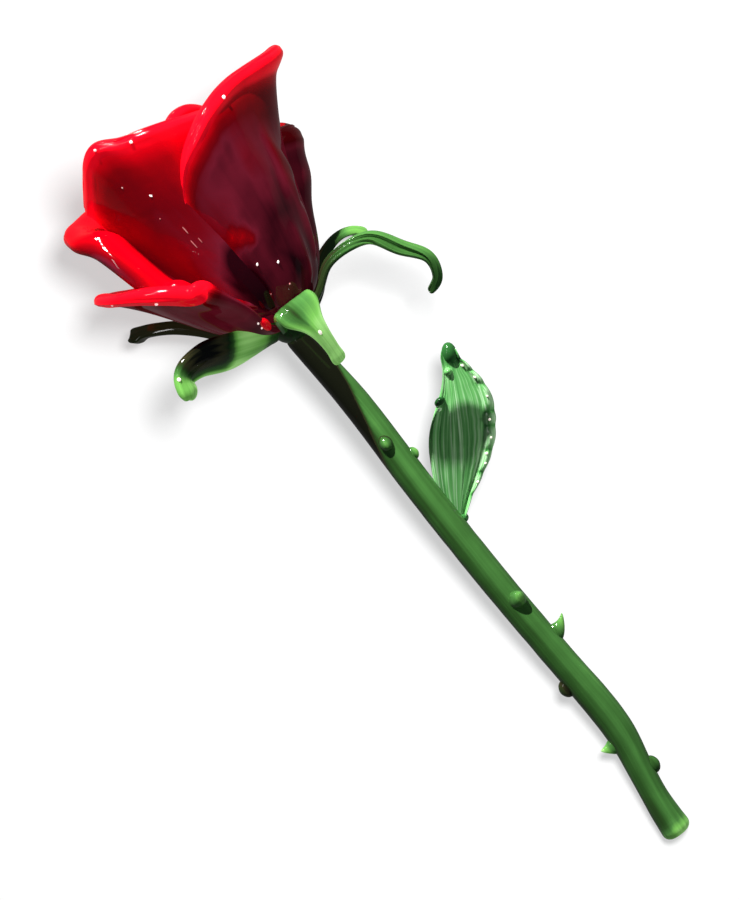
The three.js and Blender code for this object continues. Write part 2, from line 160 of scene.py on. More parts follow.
def curve(points: Sequence[Pair], share: float) -> tuple[Vector, Vector]:
    """Reads a cubic curve drawn by four points.

    Args:
        points: Its start, the two points that bend it and its end, as radius and height.
        share: Place along it, from 0 to 1.

    Returns:
        The point there and the curve's direction.
    """
    a, b, c, d = (Vector(point) for point in points)
    t, w = share, 1 - share
    point = a * w**3 + 3 * b * w * w * t + 3 * c * w * t * t + d * t**3
    return point, ((b - a) * w * w + 2 * (c - b) * w * t + (d - c) * t * t).normalized()


def outward(azimuth: float) -> Vector:
    """Direction away from the growing axis at an azimuth in degrees."""
    return Vector((math.sin(math.radians(azimuth)), -math.cos(math.radians(azimuth)), 0.0))


def rolled(length: float, degrees: float, share: float) -> Pair:
    """Bends an edge along an arc.

    Args:
        length: Length of the edge.
        degrees: How far its end is turned.
        share: Place along it, from 0 to 1.

    Returns:
        How far that place runs forward and out.
    """
    turn = math.radians(max(degrees, 1.0))
    radius = length / turn
    return radius * math.sin(turn * share), radius * (1 - math.cos(turn * share))


@dataclass(frozen=True)
class DrawnLine:
    """Smooth line drawn through points, as a rod of hot glass bends."""

    points: tuple[Vector, ...]
    measured = 40

    def at(self, share: float) -> Vector:
        """Point at a share of the line.

        Args:
            share: Place along the line; past its ends the line runs straight on.

        Returns:
            The point.
        """
        kept = clamp(share, 0.0, 1.0)
        spans = len(self.points) - 1
        k = min(int(kept * spans), spans - 1)
        t = kept * spans - k
        p1, p2 = self.points[k], self.points[k + 1]
        p0 = self.points[k - 1] if k > 0 else 2 * p1 - p2
        p3 = self.points[k + 2] if k + 2 <= spans else 2 * p2 - p1
        d0, d1, d2 = (math.sqrt((b - a).length) for a, b in ((p0, p1), (p1, p2), (p2, p3)))
        t1 = ((p1 - p0) / d0 - (p2 - p0) / (d0 + d1) + (p2 - p1) / d1) * d1
        t2 = ((p2 - p1) / d1 - (p3 - p1) / (d1 + d2) + (p3 - p2) / d2) * d1
        bend = p1 + t1 * t + (3 * (p2 - p1) - 2 * t1 - t2) * t**2 + (2 * (p1 - p2) + t1 + t2) * t**3
        return bend + self.along(kept) * (share - kept) * self.length() if share != kept else bend

    def along(self, share: float) -> Vector:
        """Direction of the line at a share of it."""
        a, b = max(share - 1e-4, 0.0), min(share + 1e-4, 1.0)
        return (self.at(b) - self.at(a)).normalized()

    def length(self) -> float:
        """Length of the line, measured in short steps."""
        n = self.measured
        return sum((self.at((i + 1) / n) - self.at(i / n)).length for i in range(n))


@dataclass(frozen=True)
class Lay:
    """How the rose lies on the table: on the rear petal and the foot."""

    pitch: float = 6.148648
    offset: tuple[float, float, float] = (94.199, -1.097, 41.406)

    def matrix(self) -> Matrix:
        """Works out how the rose is laid down.

        Returns:
            The matrix that turns growing millimetres into the metres of the frame.
        """
        s, c = math.sin(math.radians(self.pitch)), math.cos(math.radians(self.pitch))
        x, y, z = self.offset
        laid = Matrix(((0, s, c, x), (-1, 0, 0, y), (0, -c, s, z), (0, 0, 0, 1)))
        return Matrix.Scale(0.001, 4) @ laid


LAY = Lay()


def add_node(
    tree: Tree, kind: str, feeds: dict[str | int, object] | None = None, **properties: object
) -> bpy.types.Node:
    """Adds a node and feeds its inputs.

    Args:
        tree: Node tree that takes it.
        kind: Node type.
        feeds: For each input, the socket that it is linked to or the value that it is set to.
        properties: Properties to set on the node.

    Returns:
        The node.
    """
    node = tree.nodes.new(kind)
    for key, value in properties.items():
        setattr(node, key, value)
    for key, value in (feeds or {}).items():
        if isinstance(value, Socket):
            tree.links.new(value, node.inputs[key])
        else:
            node.inputs[key].default_value = value
    return node


def calculate(tree: Tree, operation: str, *values: object) -> Socket:
    """Adds a math node and gives its result."""
    return add_node(tree, "ShaderNodeMath", dict(enumerate(values)), operation=operation).outputs[0]


def add_noise(tree: Tree, **feeds: object) -> Socket:
    """Adds a noise texture and gives its value."""
    return add_node(tree, "ShaderNodeTexNoise", feeds).outputs["Fac"]


def add_group(name: str, inputs: dict[str, float], outputs: Iterable[str]) -> Tree:
    """Starts a shader node group with number sockets.

    Args:
        name: Name of the group.
        inputs: Its inputs and their default values.
        outputs: Its outputs.

    Returns:
        The group, with its input node.
    """
    group = bpy.data.node_groups.new(name, "ShaderNodeTree")
    kind = "NodeSocketFloat"
    for key, value in inputs.items():
        socket = group.interface.new_socket(key, in_out="INPUT", socket_type=kind)
        socket.default_value = value
    for key in outputs:
        group.interface.new_socket(key, in_out="OUTPUT", socket_type=kind)
    add_node(group, "NodeGroupInput", name="in")
    return group


def flow_group() -> Tree:
    """Builds the streaks and clouds that hot glass keeps from being drawn out.

    Returns:
        A group that reads the piece's own flow, in millimetres across and along.
    """
    sizes = {"Fineness": 0.4, "Stretch": 0.04, "Cloud Size": 0.05}
    group = add_group("drawn_flow", sizes, ("Streak", "Cloud"))
    given = group.nodes["in"].outputs
    flow = add_node(group, "ShaderNodeAttribute", attribute_name="flow").outputs["Vector"]
    axes = {0: given["Fineness"], 1: given["Fineness"], 2: given["Stretch"]}
    fine = add_node(group, "ShaderNodeCombineXYZ", axes).outputs[0]
    drawn = add_node(group, "ShaderNodeVectorMath", {0: flow, 1: fine}, operation="MULTIPLY")
    streak = add_noise(group, Vector=drawn.outputs[0], Scale=1.0, Detail=3.0, Distortion=0.3)
    cloud = add_noise(group, Vector=flow, Scale=given["Cloud Size"], Detail=1.5, Distortion=0.6)
    add_node(group, "NodeGroupOutput", {"Streak": streak, "Cloud": cloud})
    return group


def polish_group() -> Tree:
    """Builds the skin of fire-polished glass: slow waves and a little bloom in the gloss.

    Returns:
        A group with a height for the waves and a roughness.
    """
    sizes = {"Wave Size": 90.0, "Gloss": 0.04, "Bloom": 0.06}
    group = add_group("fire_polish", sizes, ("Height", "Roughness"))
    given = group.nodes["in"].outputs
    place = add_node(group, "ShaderNodeTexCoord").outputs["Object"]
    wave = add_noise(group, Vector=place, Scale=given["Wave Size"], Detail=1.0, Distortion=0.4)
    haze = add_noise(group, Vector=place, Scale=160.0, Detail=4.0)
    rough = calculate(group, "MULTIPLY_ADD", haze, given["Bloom"], given["Gloss"])
    add_node(group, "NodeGroupOutput", {"Height": wave, "Roughness": rough})
    return group


@dataclass(frozen=True)
class Glass:
    """A coloured glass, from its deepest colour to its thinnest, brightest one, with a painted glow
    that follows the same level.
    """

    slot: Slot
    ramp: Ramp
    painted_glow: Ramp
    streaks: float
    clouds: float
    fineness: float
    stretch: float
    cloud_size: float
    transmission: float
    gloss: float
    wave: float
    ior: float = 1.5
    shine: float = 0.3
    wave_height = 0.001

    def colour(self, tree: Tree, stops: Ramp, level: Socket, seed: Socket) -> Socket:
        """Colours the glass by its level, with painted glints on bubbles.

        Args:
            tree: Node tree of the material.
            stops: Colours from deep to bright.
            level: How bright the glass is.
            seed: How strongly a glint is painted there.

        Returns:
            The colour.
        """
        ramp = add_node(tree, "ShaderNodeValToRGB", {"Fac": level})
        elements = ramp.color_ramp.elements
        while len(elements) < len(stops):
            elements.new(0.5)
        for element, (place, colour) in zip(elements, stops):
            element.position = place
            element.color = (*colour, 1.0)
        feeds = {"Fac": seed, "Color1": ramp.outputs["Color"], "Color2": (*PAINTED_GLINT_COLOUR, 1.0)}
        return add_node(tree, "ShaderNodeMixRGB", feeds, blend_type="MIX").outputs["Color"]

    def material(self, flow: Tree, polish: Tree) -> bpy.types.Material:
        """Builds the material.

        Args:
            flow: Group with the drawn streaks.
            polish: Group with the skin of the glass.

        Returns:
            The material.
        """
        made = bpy.data.materials.new(self.slot.value)
        made.use_nodes = True
        made.cycles.emission_sampling = "NONE"
        tree = made.node_tree
        tree.nodes.clear()
        sizes = {"Fineness": self.fineness, "Stretch": self.stretch, "Cloud Size": self.cloud_size}
        drawn = add_node(tree, "ShaderNodeGroup", sizes, node_tree=flow).outputs
        level, seed = (
            add_node(tree, "ShaderNodeAttribute", attribute_name=name).outputs["Fac"]
            for name in ("glow", "seed")
        )
        for source, amount in (("Streak", self.streaks), ("Cloud", self.clouds)):
            centred = calculate(tree, "SUBTRACT", drawn[source], 0.5)
            level = calculate(tree, "MULTIPLY_ADD", centred, amount, level)
        skin = add_node(tree, "ShaderNodeGroup", {"Gloss": self.gloss}, node_tree=polish).outputs
        bumps = {"Strength": self.wave, "Distance": self.wave_height, "Height": skin["Height"]}
        feeds = {
            "Base Color": self.colour(tree, self.ramp, level, seed),
            # painted glow: emission set by the glass's level, standing in for light that shines
            # through it
            "Emission Color": self.colour(tree, self.painted_glow, level, seed),
            "Emission Strength": 1.0,
            "IOR": self.ior,
            "Specular IOR Level": self.shine,
            "Transmission Weight": self.transmission,
            "Normal": add_node(tree, "ShaderNodeBump", bumps).outputs["Normal"],
            "Roughness": skin["Roughness"],
        }
        shader = add_node(tree, "ShaderNodeBsdfPrincipled", feeds)
        add_node(tree, "ShaderNodeOutputMaterial", {"Surface": shader.outputs[0]})
        return made


RED_GLASS = Glass(
    slot=Slot.RED,
    # the purplish stop at 0.13, which colours the tall petal's face, is partly a painted reflection
    # of a bluish sky
    ramp=(
        (0.0, (0.02, 0.001, 0.003)), (0.13, (0.13, 0.008, 0.019)), (0.26, (0.16, 0.001, 0.004)),
        (0.45, (0.32, 0.0005, 0.003)), (0.7, (0.7, 0.0, 0.005)), (1.0, (1.0, 0.003, 0.012)),
    ),
    painted_glow=(
        (0.0, (0.004, 0.0, 0.001)), (0.13, (0.06, 0.003, 0.008)), (0.26, (0.03, 0.0, 0.001)),
        (0.45, (0.04, 0.0, 0.001)), (0.75, (0.14, 0.0, 0.002)), (1.0, (0.45, 0.001, 0.008)),
    ),
    streaks=0.16, clouds=0.2, fineness=0.12, stretch=0.012, cloud_size=0.045,
    transmission=0.04, gloss=0.02, wave=0.25, ior=1.45, shine=0.22,
)
GREEN_GLASS = Glass(
    slot=Slot.GREEN,
    # the dark olive stops up to 0.08 colour the painted shade on the sepals and the stem's neck
    ramp=(
        (0.0, (0.008, 0.009, 0.004)), (0.08, (0.028, 0.027, 0.01)), (0.18, (0.024, 0.044, 0.012)),
        (0.3, (0.03, 0.095, 0.018)), (0.52, (0.075, 0.23, 0.05)), (0.75, (0.16, 0.42, 0.08)),
        (1.0, (0.4, 0.72, 0.25)),
    ),
    painted_glow=(
        (0.0, (0.0, 0.0, 0.0)), (0.08, (0.008, 0.008, 0.003)), (0.2, (0.001, 0.004, 0.001)),
        (0.5, (0.005, 0.02, 0.003)), (0.75, (0.07, 0.2, 0.035)), (1.0, (0.2, 0.4, 0.12)),
    ),
    streaks=0.3, clouds=0.2, fineness=0.5, stretch=0.012, cloud_size=0.04,
    transmission=0.04, gloss=0.04, wave=0.2,
)
LEAF_GLASS = Glass(
    slot=Slot.LEAF,
    ramp=(
        (0.0, (0.01, 0.05, 0.012)), (0.35, (0.05, 0.24, 0.05)), (0.65, (0.15, 0.46, 0.13)),
        (1.0, (0.65, 0.88, 0.6)),
    ),
    painted_glow=(
        (0.0, (0.0, 0.001, 0.0)), (0.65, (0.002, 0.006, 0.002)), (1.0, (0.03, 0.06, 0.022)),
    ),
    streaks=1.0, clouds=0.2, fineness=0.9, stretch=0.02, cloud_size=0.06,
    transmission=0.06, gloss=0.05, wave=0.2,
)


@dataclass
class Workshop:
    """Keeps the materials, and starts and finishes each piece in the same way."""

    materials: dict[Slot, bpy.types.Material] = field(default_factory=dict)

    def prepare(self, glasses: Iterable[Glass]) -> None:
        """Makes the materials.

        Args:
            glasses: The coloured glasses.
        """
        flow, polish = flow_group(), polish_group()
        for glass in glasses:
            self.materials[glass.slot] = glass.material(flow, polish)

    def start(self) -> tuple[Mesh, bmesh.types.BMLayerItem, bmesh.types.BMLayerItem]:
        """Starts a shape.

        Returns:
            The empty shape, and its layers for the flow of the glass and for its glow.
        """
        bm = bmesh.new()
        layers = bm.verts.layers
        return bm, layers.float_vector.new("flow"), layers.float.new("glow")

    def finish(self, bm: Mesh, name: str, slot: Slot, levels: int) -> Piece:
        """Turns a drawn shape into a piece of the object.

        Args:
            bm: The shape, in growing millimetres; it is freed.
            name: Node that the piece stands for.
            slot: Material slot of its glass.
            levels: Subdivision levels.

        Returns:
            The piece, laid down in the frame.
        """
        bmesh.ops.recalc_face_normals(bm, faces=bm.faces[:])
        bm.transform(LAY.matrix())
        for face in bm.faces:
            face.smooth = True
        mesh = bpy.data.meshes.new(name)
        bm.to_mesh(mesh)
        bm.free()
        piece = bpy.data.objects.new(f"{name}_glass", mesh)
        bpy.context.scene.collection.objects.link(piece)
        mesh.materials.append(self.materials[slot])
        rounding = piece.modifiers.new("fire_polish", "SUBSURF")
        rounding.levels = rounding.render_levels = levels
        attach(piece, "root")
        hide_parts(name)
        LOG.info("%s: %d faces", name, len(mesh.polygons))
        return piece


@dataclass(frozen=True)
class Fold:
    """A ridge or crease pressed into a sheet, along a straight line between two places, with
    painted sheen along it.
    """

    start: Pair
    end: Pair
    width: float
    height: float
    # light: painted sheen along the ridge
    light: float = 0.0

    def at(self, u: float, v: float) -> float:
        """Reads the ridge.

        Args:
            u, v: Place across and along the sheet.

        Returns:
            The share of the ridge's height there.
        """
        (u0, v0), (u1, v1) = self.start, self.end
        du, dv = u1 - u0, v1 - v0
        share = clamp(((u - u0) * du + (v - v0) * dv) / (du * du + dv * dv), 0.0, 1.0)
        away = math.hypot(u - u0 - share * du, v - v0 - share * dv)
        ends = smoothstep(share, 0.0, 0.2) * smoothstep(1 - share, 0.0, 0.2)
        return math.exp(-((away / self.width) ** 2)) * ends


@dataclass(frozen=True)
class PaintedPool:
    """A pool of painted light or painted shade in the colour of a sheet."""

    u: float
    v: float
    across: float
    along: float
    amount: float

    def at(self, u: float, v: float) -> float:
        """Change of glow at a place on the sheet."""
        return self.amount * bell(u, self.u, self.across) * bell(v, self.v, self.along)


@dataclass(frozen=True)
class Drop:
    """A bubble or a small drop of glass on a face of a sheet, which may carry a painted glint."""

    u: float
    v: float
    size: float
    glow: float = 0.5
    stretch: float = 1.0
    sunk: float = 0.0
    # painted glint: white mixed into the colour and the glow of the drop
    seed: float = 0.0
    face: Face = Face.OUTER


def bubbles(*rows: tuple[float, float, float, float]) -> tuple[Drop, ...]:
    """Round bubbles under the skin, each by its place u and v, its size and the strength of its
    painted glint.
    """
    return tuple(Drop(u, v, size, seed=seed) for u, v, size, seed in rows)


@dataclass
class GlassSheet(ABC):
    """A sheet of hot glass with fire-polished edges."""

    name: str
    folds: tuple[Fold, ...] = field(default=(), kw_only=True)
    # pools of painted light and painted shade in the colour
    painted_pools: tuple[PaintedPool, ...] = field(default=(), kw_only=True)
    drops: tuple[Drop, ...] = field(default=(), kw_only=True)
    slot = Slot.RED
    columns = 56
    rows = 48
    edge = 0.06
    smoothing = 3

    @abstractmethod
    def middle(self, u: float, v: float) -> Vector:
        """Point of the sheet's middle surface."""

    @abstractmethod
    def half_thickness(self, u: float, v: float) -> float:
        """Half of the sheet's thickness, before its edges are rounded."""

    @abstractmethod
    def glow(self, u: float, v: float, face: Face) -> float:
        """How bright the glass is, from the depth of its colour and from painted light and shade: 0
        deep, 1 thin and clear.
        """

    def relief(self, u: float, v: float) -> float:
        """How far the sheet is pressed out of its middle surface."""
        return sum(fold.height * fold.at(u, v) for fold in self.folds)

    def painted_light_and_shade(self, u: float, v: float) -> float:
        """Change of glow by the pools of painted light and shade and by the painted sheen on the
        ridges.
        """
        ridges = sum(fold.light * fold.at(u, v) for fold in self.folds)
        return sum(pool.at(u, v) for pool in self.painted_pools) + ridges

    def size(self) -> Pair:
        """Rough half width and length, for the flow of the glass."""
        return 45.0, 110.0

    def rounded(self, u: float, v: float) -> float:
        """Rounds the edges.

        Args:
            u, v: Place across and along the sheet.

        Returns:
            The share of the thickness that is left there.
        """
        share = 1.0
        for inset in ((1 - abs(u)) / 2, v, 1 - v):
            depth = inset / self.edge
            share *= 1.0 if depth >= 1 else math.sqrt(max(0.02, 1 - (1 - depth) ** 2))
        return share

    def drop_place(self, drop: Drop) -> Matrix:
        """Places a drop on the sheet, drawn out along it.

        Args:
            drop: The drop.

        Returns:
            The matrix that takes a ball of radius 1 there.
        """
        u, v, h = drop.u, drop.v, 1e-3
        across = (self.middle(u + h, v) - self.middle(u - h, v)).normalized()
        along = (self.middle(u, v + h) - self.middle(u, v - h)).normalized()
        look = across.cross(along).normalized() * drop.face.value
        rise = self.half_thickness(u, v) * self.rounded(u, v) * (1 - drop.sunk)
        turned = Matrix((across, along, look)).transposed().to_4x4()
        sized = Matrix.Diagonal((drop.size / 2, drop.size / 2 * drop.stretch, drop.size / 2, 1))
        return Matrix.Translation(self.middle(u, v) + look * rise) @ turned @ sized

    def build(self, workshop: Workshop) -> Piece:
        """Draws the sheet, gives it its thickness and finishes it.

        Args:
            workshop: Where the piece is finished.

        Returns:
            The piece.
        """
        bm, flow, glow = workshop.start()
        seed = bm.verts.layers.float.new("seed")
        place = bm.verts.layers.float_vector.new("place")
        look = bm.verts.layers.float_vector.new("look")
        bmesh.ops.create_grid(bm, x_segments=self.columns, y_segments=self.rows, size=1.0)
        for vert in bm.verts:
            u = math.sin(vert.co.x * math.pi / 2)
            v = (1 + math.sin(vert.co.y * math.pi / 2)) / 2
            vert[place] = Vector((u, v, 0))
            vert.co = self.middle(u, v)
        inner = [vert for vert in bm.verts if not vert.is_boundary]
        for _ in range(self.smoothing):
            bmesh.ops.smooth_vert(
                bm, verts=inner, factor=0.5, use_axis_x=True, use_axis_y=True, use_axis_z=True
            )
        bm.normal_update()
        for vert in bm.verts:
            vert[look] = vert.normal
        made = bmesh.ops.extrude_face_region(bm, geom=bm.faces[:], use_keep_orig=True)
        outer = {item for item in made["geom"] if isinstance(item, bmesh.types.BMVert)}
        wide, long = self.size()
        for vert in bm.verts:
            u, v, _ = vert[place]
            face = Face.OUTER if vert in outer else Face.INNER
            half = self.half_thickness(u, v) * self.rounded(u, v)
            vert.co += vert[look] * (half * face.value + self.relief(u, v))
            vert[flow] = Vector((u * wide, face.value * half, v * long))
            vert[glow] = self.glow(u, v, face)
        for drop in self.drops:
            ball = bmesh.ops.create_icosphere(
                bm, subdivisions=2, radius=1.0, matrix=self.drop_place(drop)
            )
            for vert in ball["verts"]:
                vert[flow] = Vector((drop.u * wide, 0, drop.v * long))
                vert[glow] = drop.glow
                vert[seed] = drop.seed
        return workshop.finish(bm, self.name, self.slot, levels=1)


@dataclass(frozen=True)
class Tip:
    """A place on a rim that was pulled out and up while it was hot."""

    at: float
    width: float
    out: float
    up: float


@dataclass
class Petal(GlassSheet):
    """A petal that rises along a meridian of radius and height points and rolls out at its rim."""

    azimuth: float
    spread: Pair
    seat: float
    belly: Pair
    shoulder: Pair
    crest: Pair
    rim: Stations
    lip: float
    turn: Stations
    sides: Pair
    lap: Stations = LEVEL
    tips: tuple[Tip, ...] = ()
    tucks: tuple[Stations, Stations] = (LEVEL, LEVEL)
    # side_glow, rim_light and inside paint light that shines through the sides and rim, and shade
    # on the inner face
    side_glow: Pair = (1.0, 1.0)
    fat_sides: Pair = (0.0, 0.0)
    body: Stations = ((0, 0.05), (0.4, 0.2), (0.8, 0.5), (1, 0.7))
    rim_light: float = 1.0
    inside: float = 0.0
    thickness: float = 4.4
    rim_thickness: float = 5.8
    rim_share: Stations = ((-1, 1), (1, 1))
    foot_radius = 7.5
    lip_from = 0.82
    side_from = 0.8
    wave_height = 0.9
    ripple_height = 0.45

    def middle(self, u: float, v: float) -> Vector:
        """Goes up the meridian, then over the lip at the top and the rolls at the sides.

        Args:
            u, v: Place across and along the petal.

        Returns:
            The point of its middle surface.
        """
        across = clamp(u / self.side_from, -1.0, 1.0)
        opened = smoothstep(v, 0.0, 0.6)
        meridian = ((self.foot_radius, self.seat), self.belly, self.shoulder, self.crest)
        height = min(blend(self.rim, across), 0.999) * min(v / self.lip_from, 1.0)
        place, along = curve(meridian, height)
        above = max(0.0, (v - self.lip_from) / (1 - self.lip_from))
        beyond = max(0.0, (abs(u) - self.side_from) / (1 - self.side_from))
        lip_on, lip_out = rolled(
            self.lip, blend(self.turn, across), above * math.sqrt(max(0.0, 1 - beyond**2 / 2))
        )
        side_on, side_out = rolled(
            mix(2.0, self.lip, opened),
            by_side(self.sides, u) * opened,
            beyond * math.sqrt(max(0.0, 1 - above**2 / 2)),
        )
        pulled_out = pulled_up = 0.0
        for tip in self.tips:
            pull = bell(across, tip.at, tip.width) * smoothstep(v, 0.6, 1.0)
            pulled_out += tip.out * pull
            pulled_up += tip.up * pull
        angle = self.azimuth + across * mix(*self.spread, opened)
        rolled_out = math.hypot(along.y * lip_out, side_out) + along.x * lip_on
        pressed = blend(by_side(self.tucks, u), v) * smoothstep(abs(across), 0.35, 1.0)
        radius = place.x + rolled_out + blend(self.lap, across) * opened + pulled_out - pressed
        point = outward(angle) * radius + outward(angle + 90) * math.copysign(side_on, u)
        point.z = place.y + along.y * lip_on - along.x * lip_out + pulled_up
        return point

    def half_thickness(self, u: float, v: float) -> float:
        """Makes the petal thicker at its fire-polished rim.

        Args:
            u, v: Place across and along the petal.

        Returns:
            Half of its thickness.
        """
        side = smoothstep(abs(u), 0.5, 0.9) * smoothstep(v, 0.3, 0.7)
        side *= by_side(self.fat_sides, u)
        rim = self.rim_thickness * blend(self.rim_share, u)
        return mix(self.thickness, rim, max(smoothstep(v, 0.6, 0.95), side)) / 2

    def relief(self, u: float, v: float) -> float:
        """Adds the slow waves of hand work, and ripples at the rim, to the folds.

        Args:
            u, v: Place across and along the petal.

        Returns:
            How far it is pressed out there.
        """
        wave = noise.noise(Vector((u * 1.7 + self.azimuth, v * 2.6, 0.3)))
        ripple = noise.noise(Vector((u * 6 + self.azimuth, v * 7, 1.7)))
        wave *= self.wave_height * smoothstep(v, 0.1, 0.4)
        ripple *= self.ripple_height * smoothstep(v, 0.7, 0.9)
        return wave + ripple + super().relief(u, v)

    def glow(self, u: float, v: float, face: Face) -> float:
        """Lights the thin rim and sides, partly as the lighter colour of thin glass and partly as
        painted light shining through them, and leaves the base deep; adds the painted pools and
        ridge sheen, and painted shade on the inner face.

        Args:
            u, v: Place across and along the petal.
            face: Face of the petal.

        Returns:
            How bright the glass is.
        """
        sides = smoothstep(abs(u), 0.78, 0.92) * smoothstep(v, 0.4, 0.7)
        edge = max(smoothstep(v, 0.76, 0.9), by_side(self.side_glow, u) * sides)
        level = mix(blend(self.body, v), 1.0, edge * self.rim_light)
        return level + self.painted_light_and_shade(u, v) + (self.inside if face is Face.INNER else 0.0)


def inner_petal(name: str, azimuth: float, shoulder: float, height: float) -> Petal:
    """Draws a small petal that is rolled round the core.

    Args:
        name: Node that it stands for.
        azimuth: Where it sits.
        shoulder: Height at which it bends outwards.
        height: Height of its crest.

    Returns:
        The petal.
    """
    return Petal(
        name, azimuth, (40, 54), 21, (23, 21), (18, shoulder), (32, height),
        rim=((-1, 0.86), (0, 1), (1, 0.84)), lip=7, turn=((-1, 20), (1, 30)), sides=(10, 10),
        lap=((-1, -3.5), (1, 3.5)), tips=(Tip(0, 0.5, 1, 2),),
    )


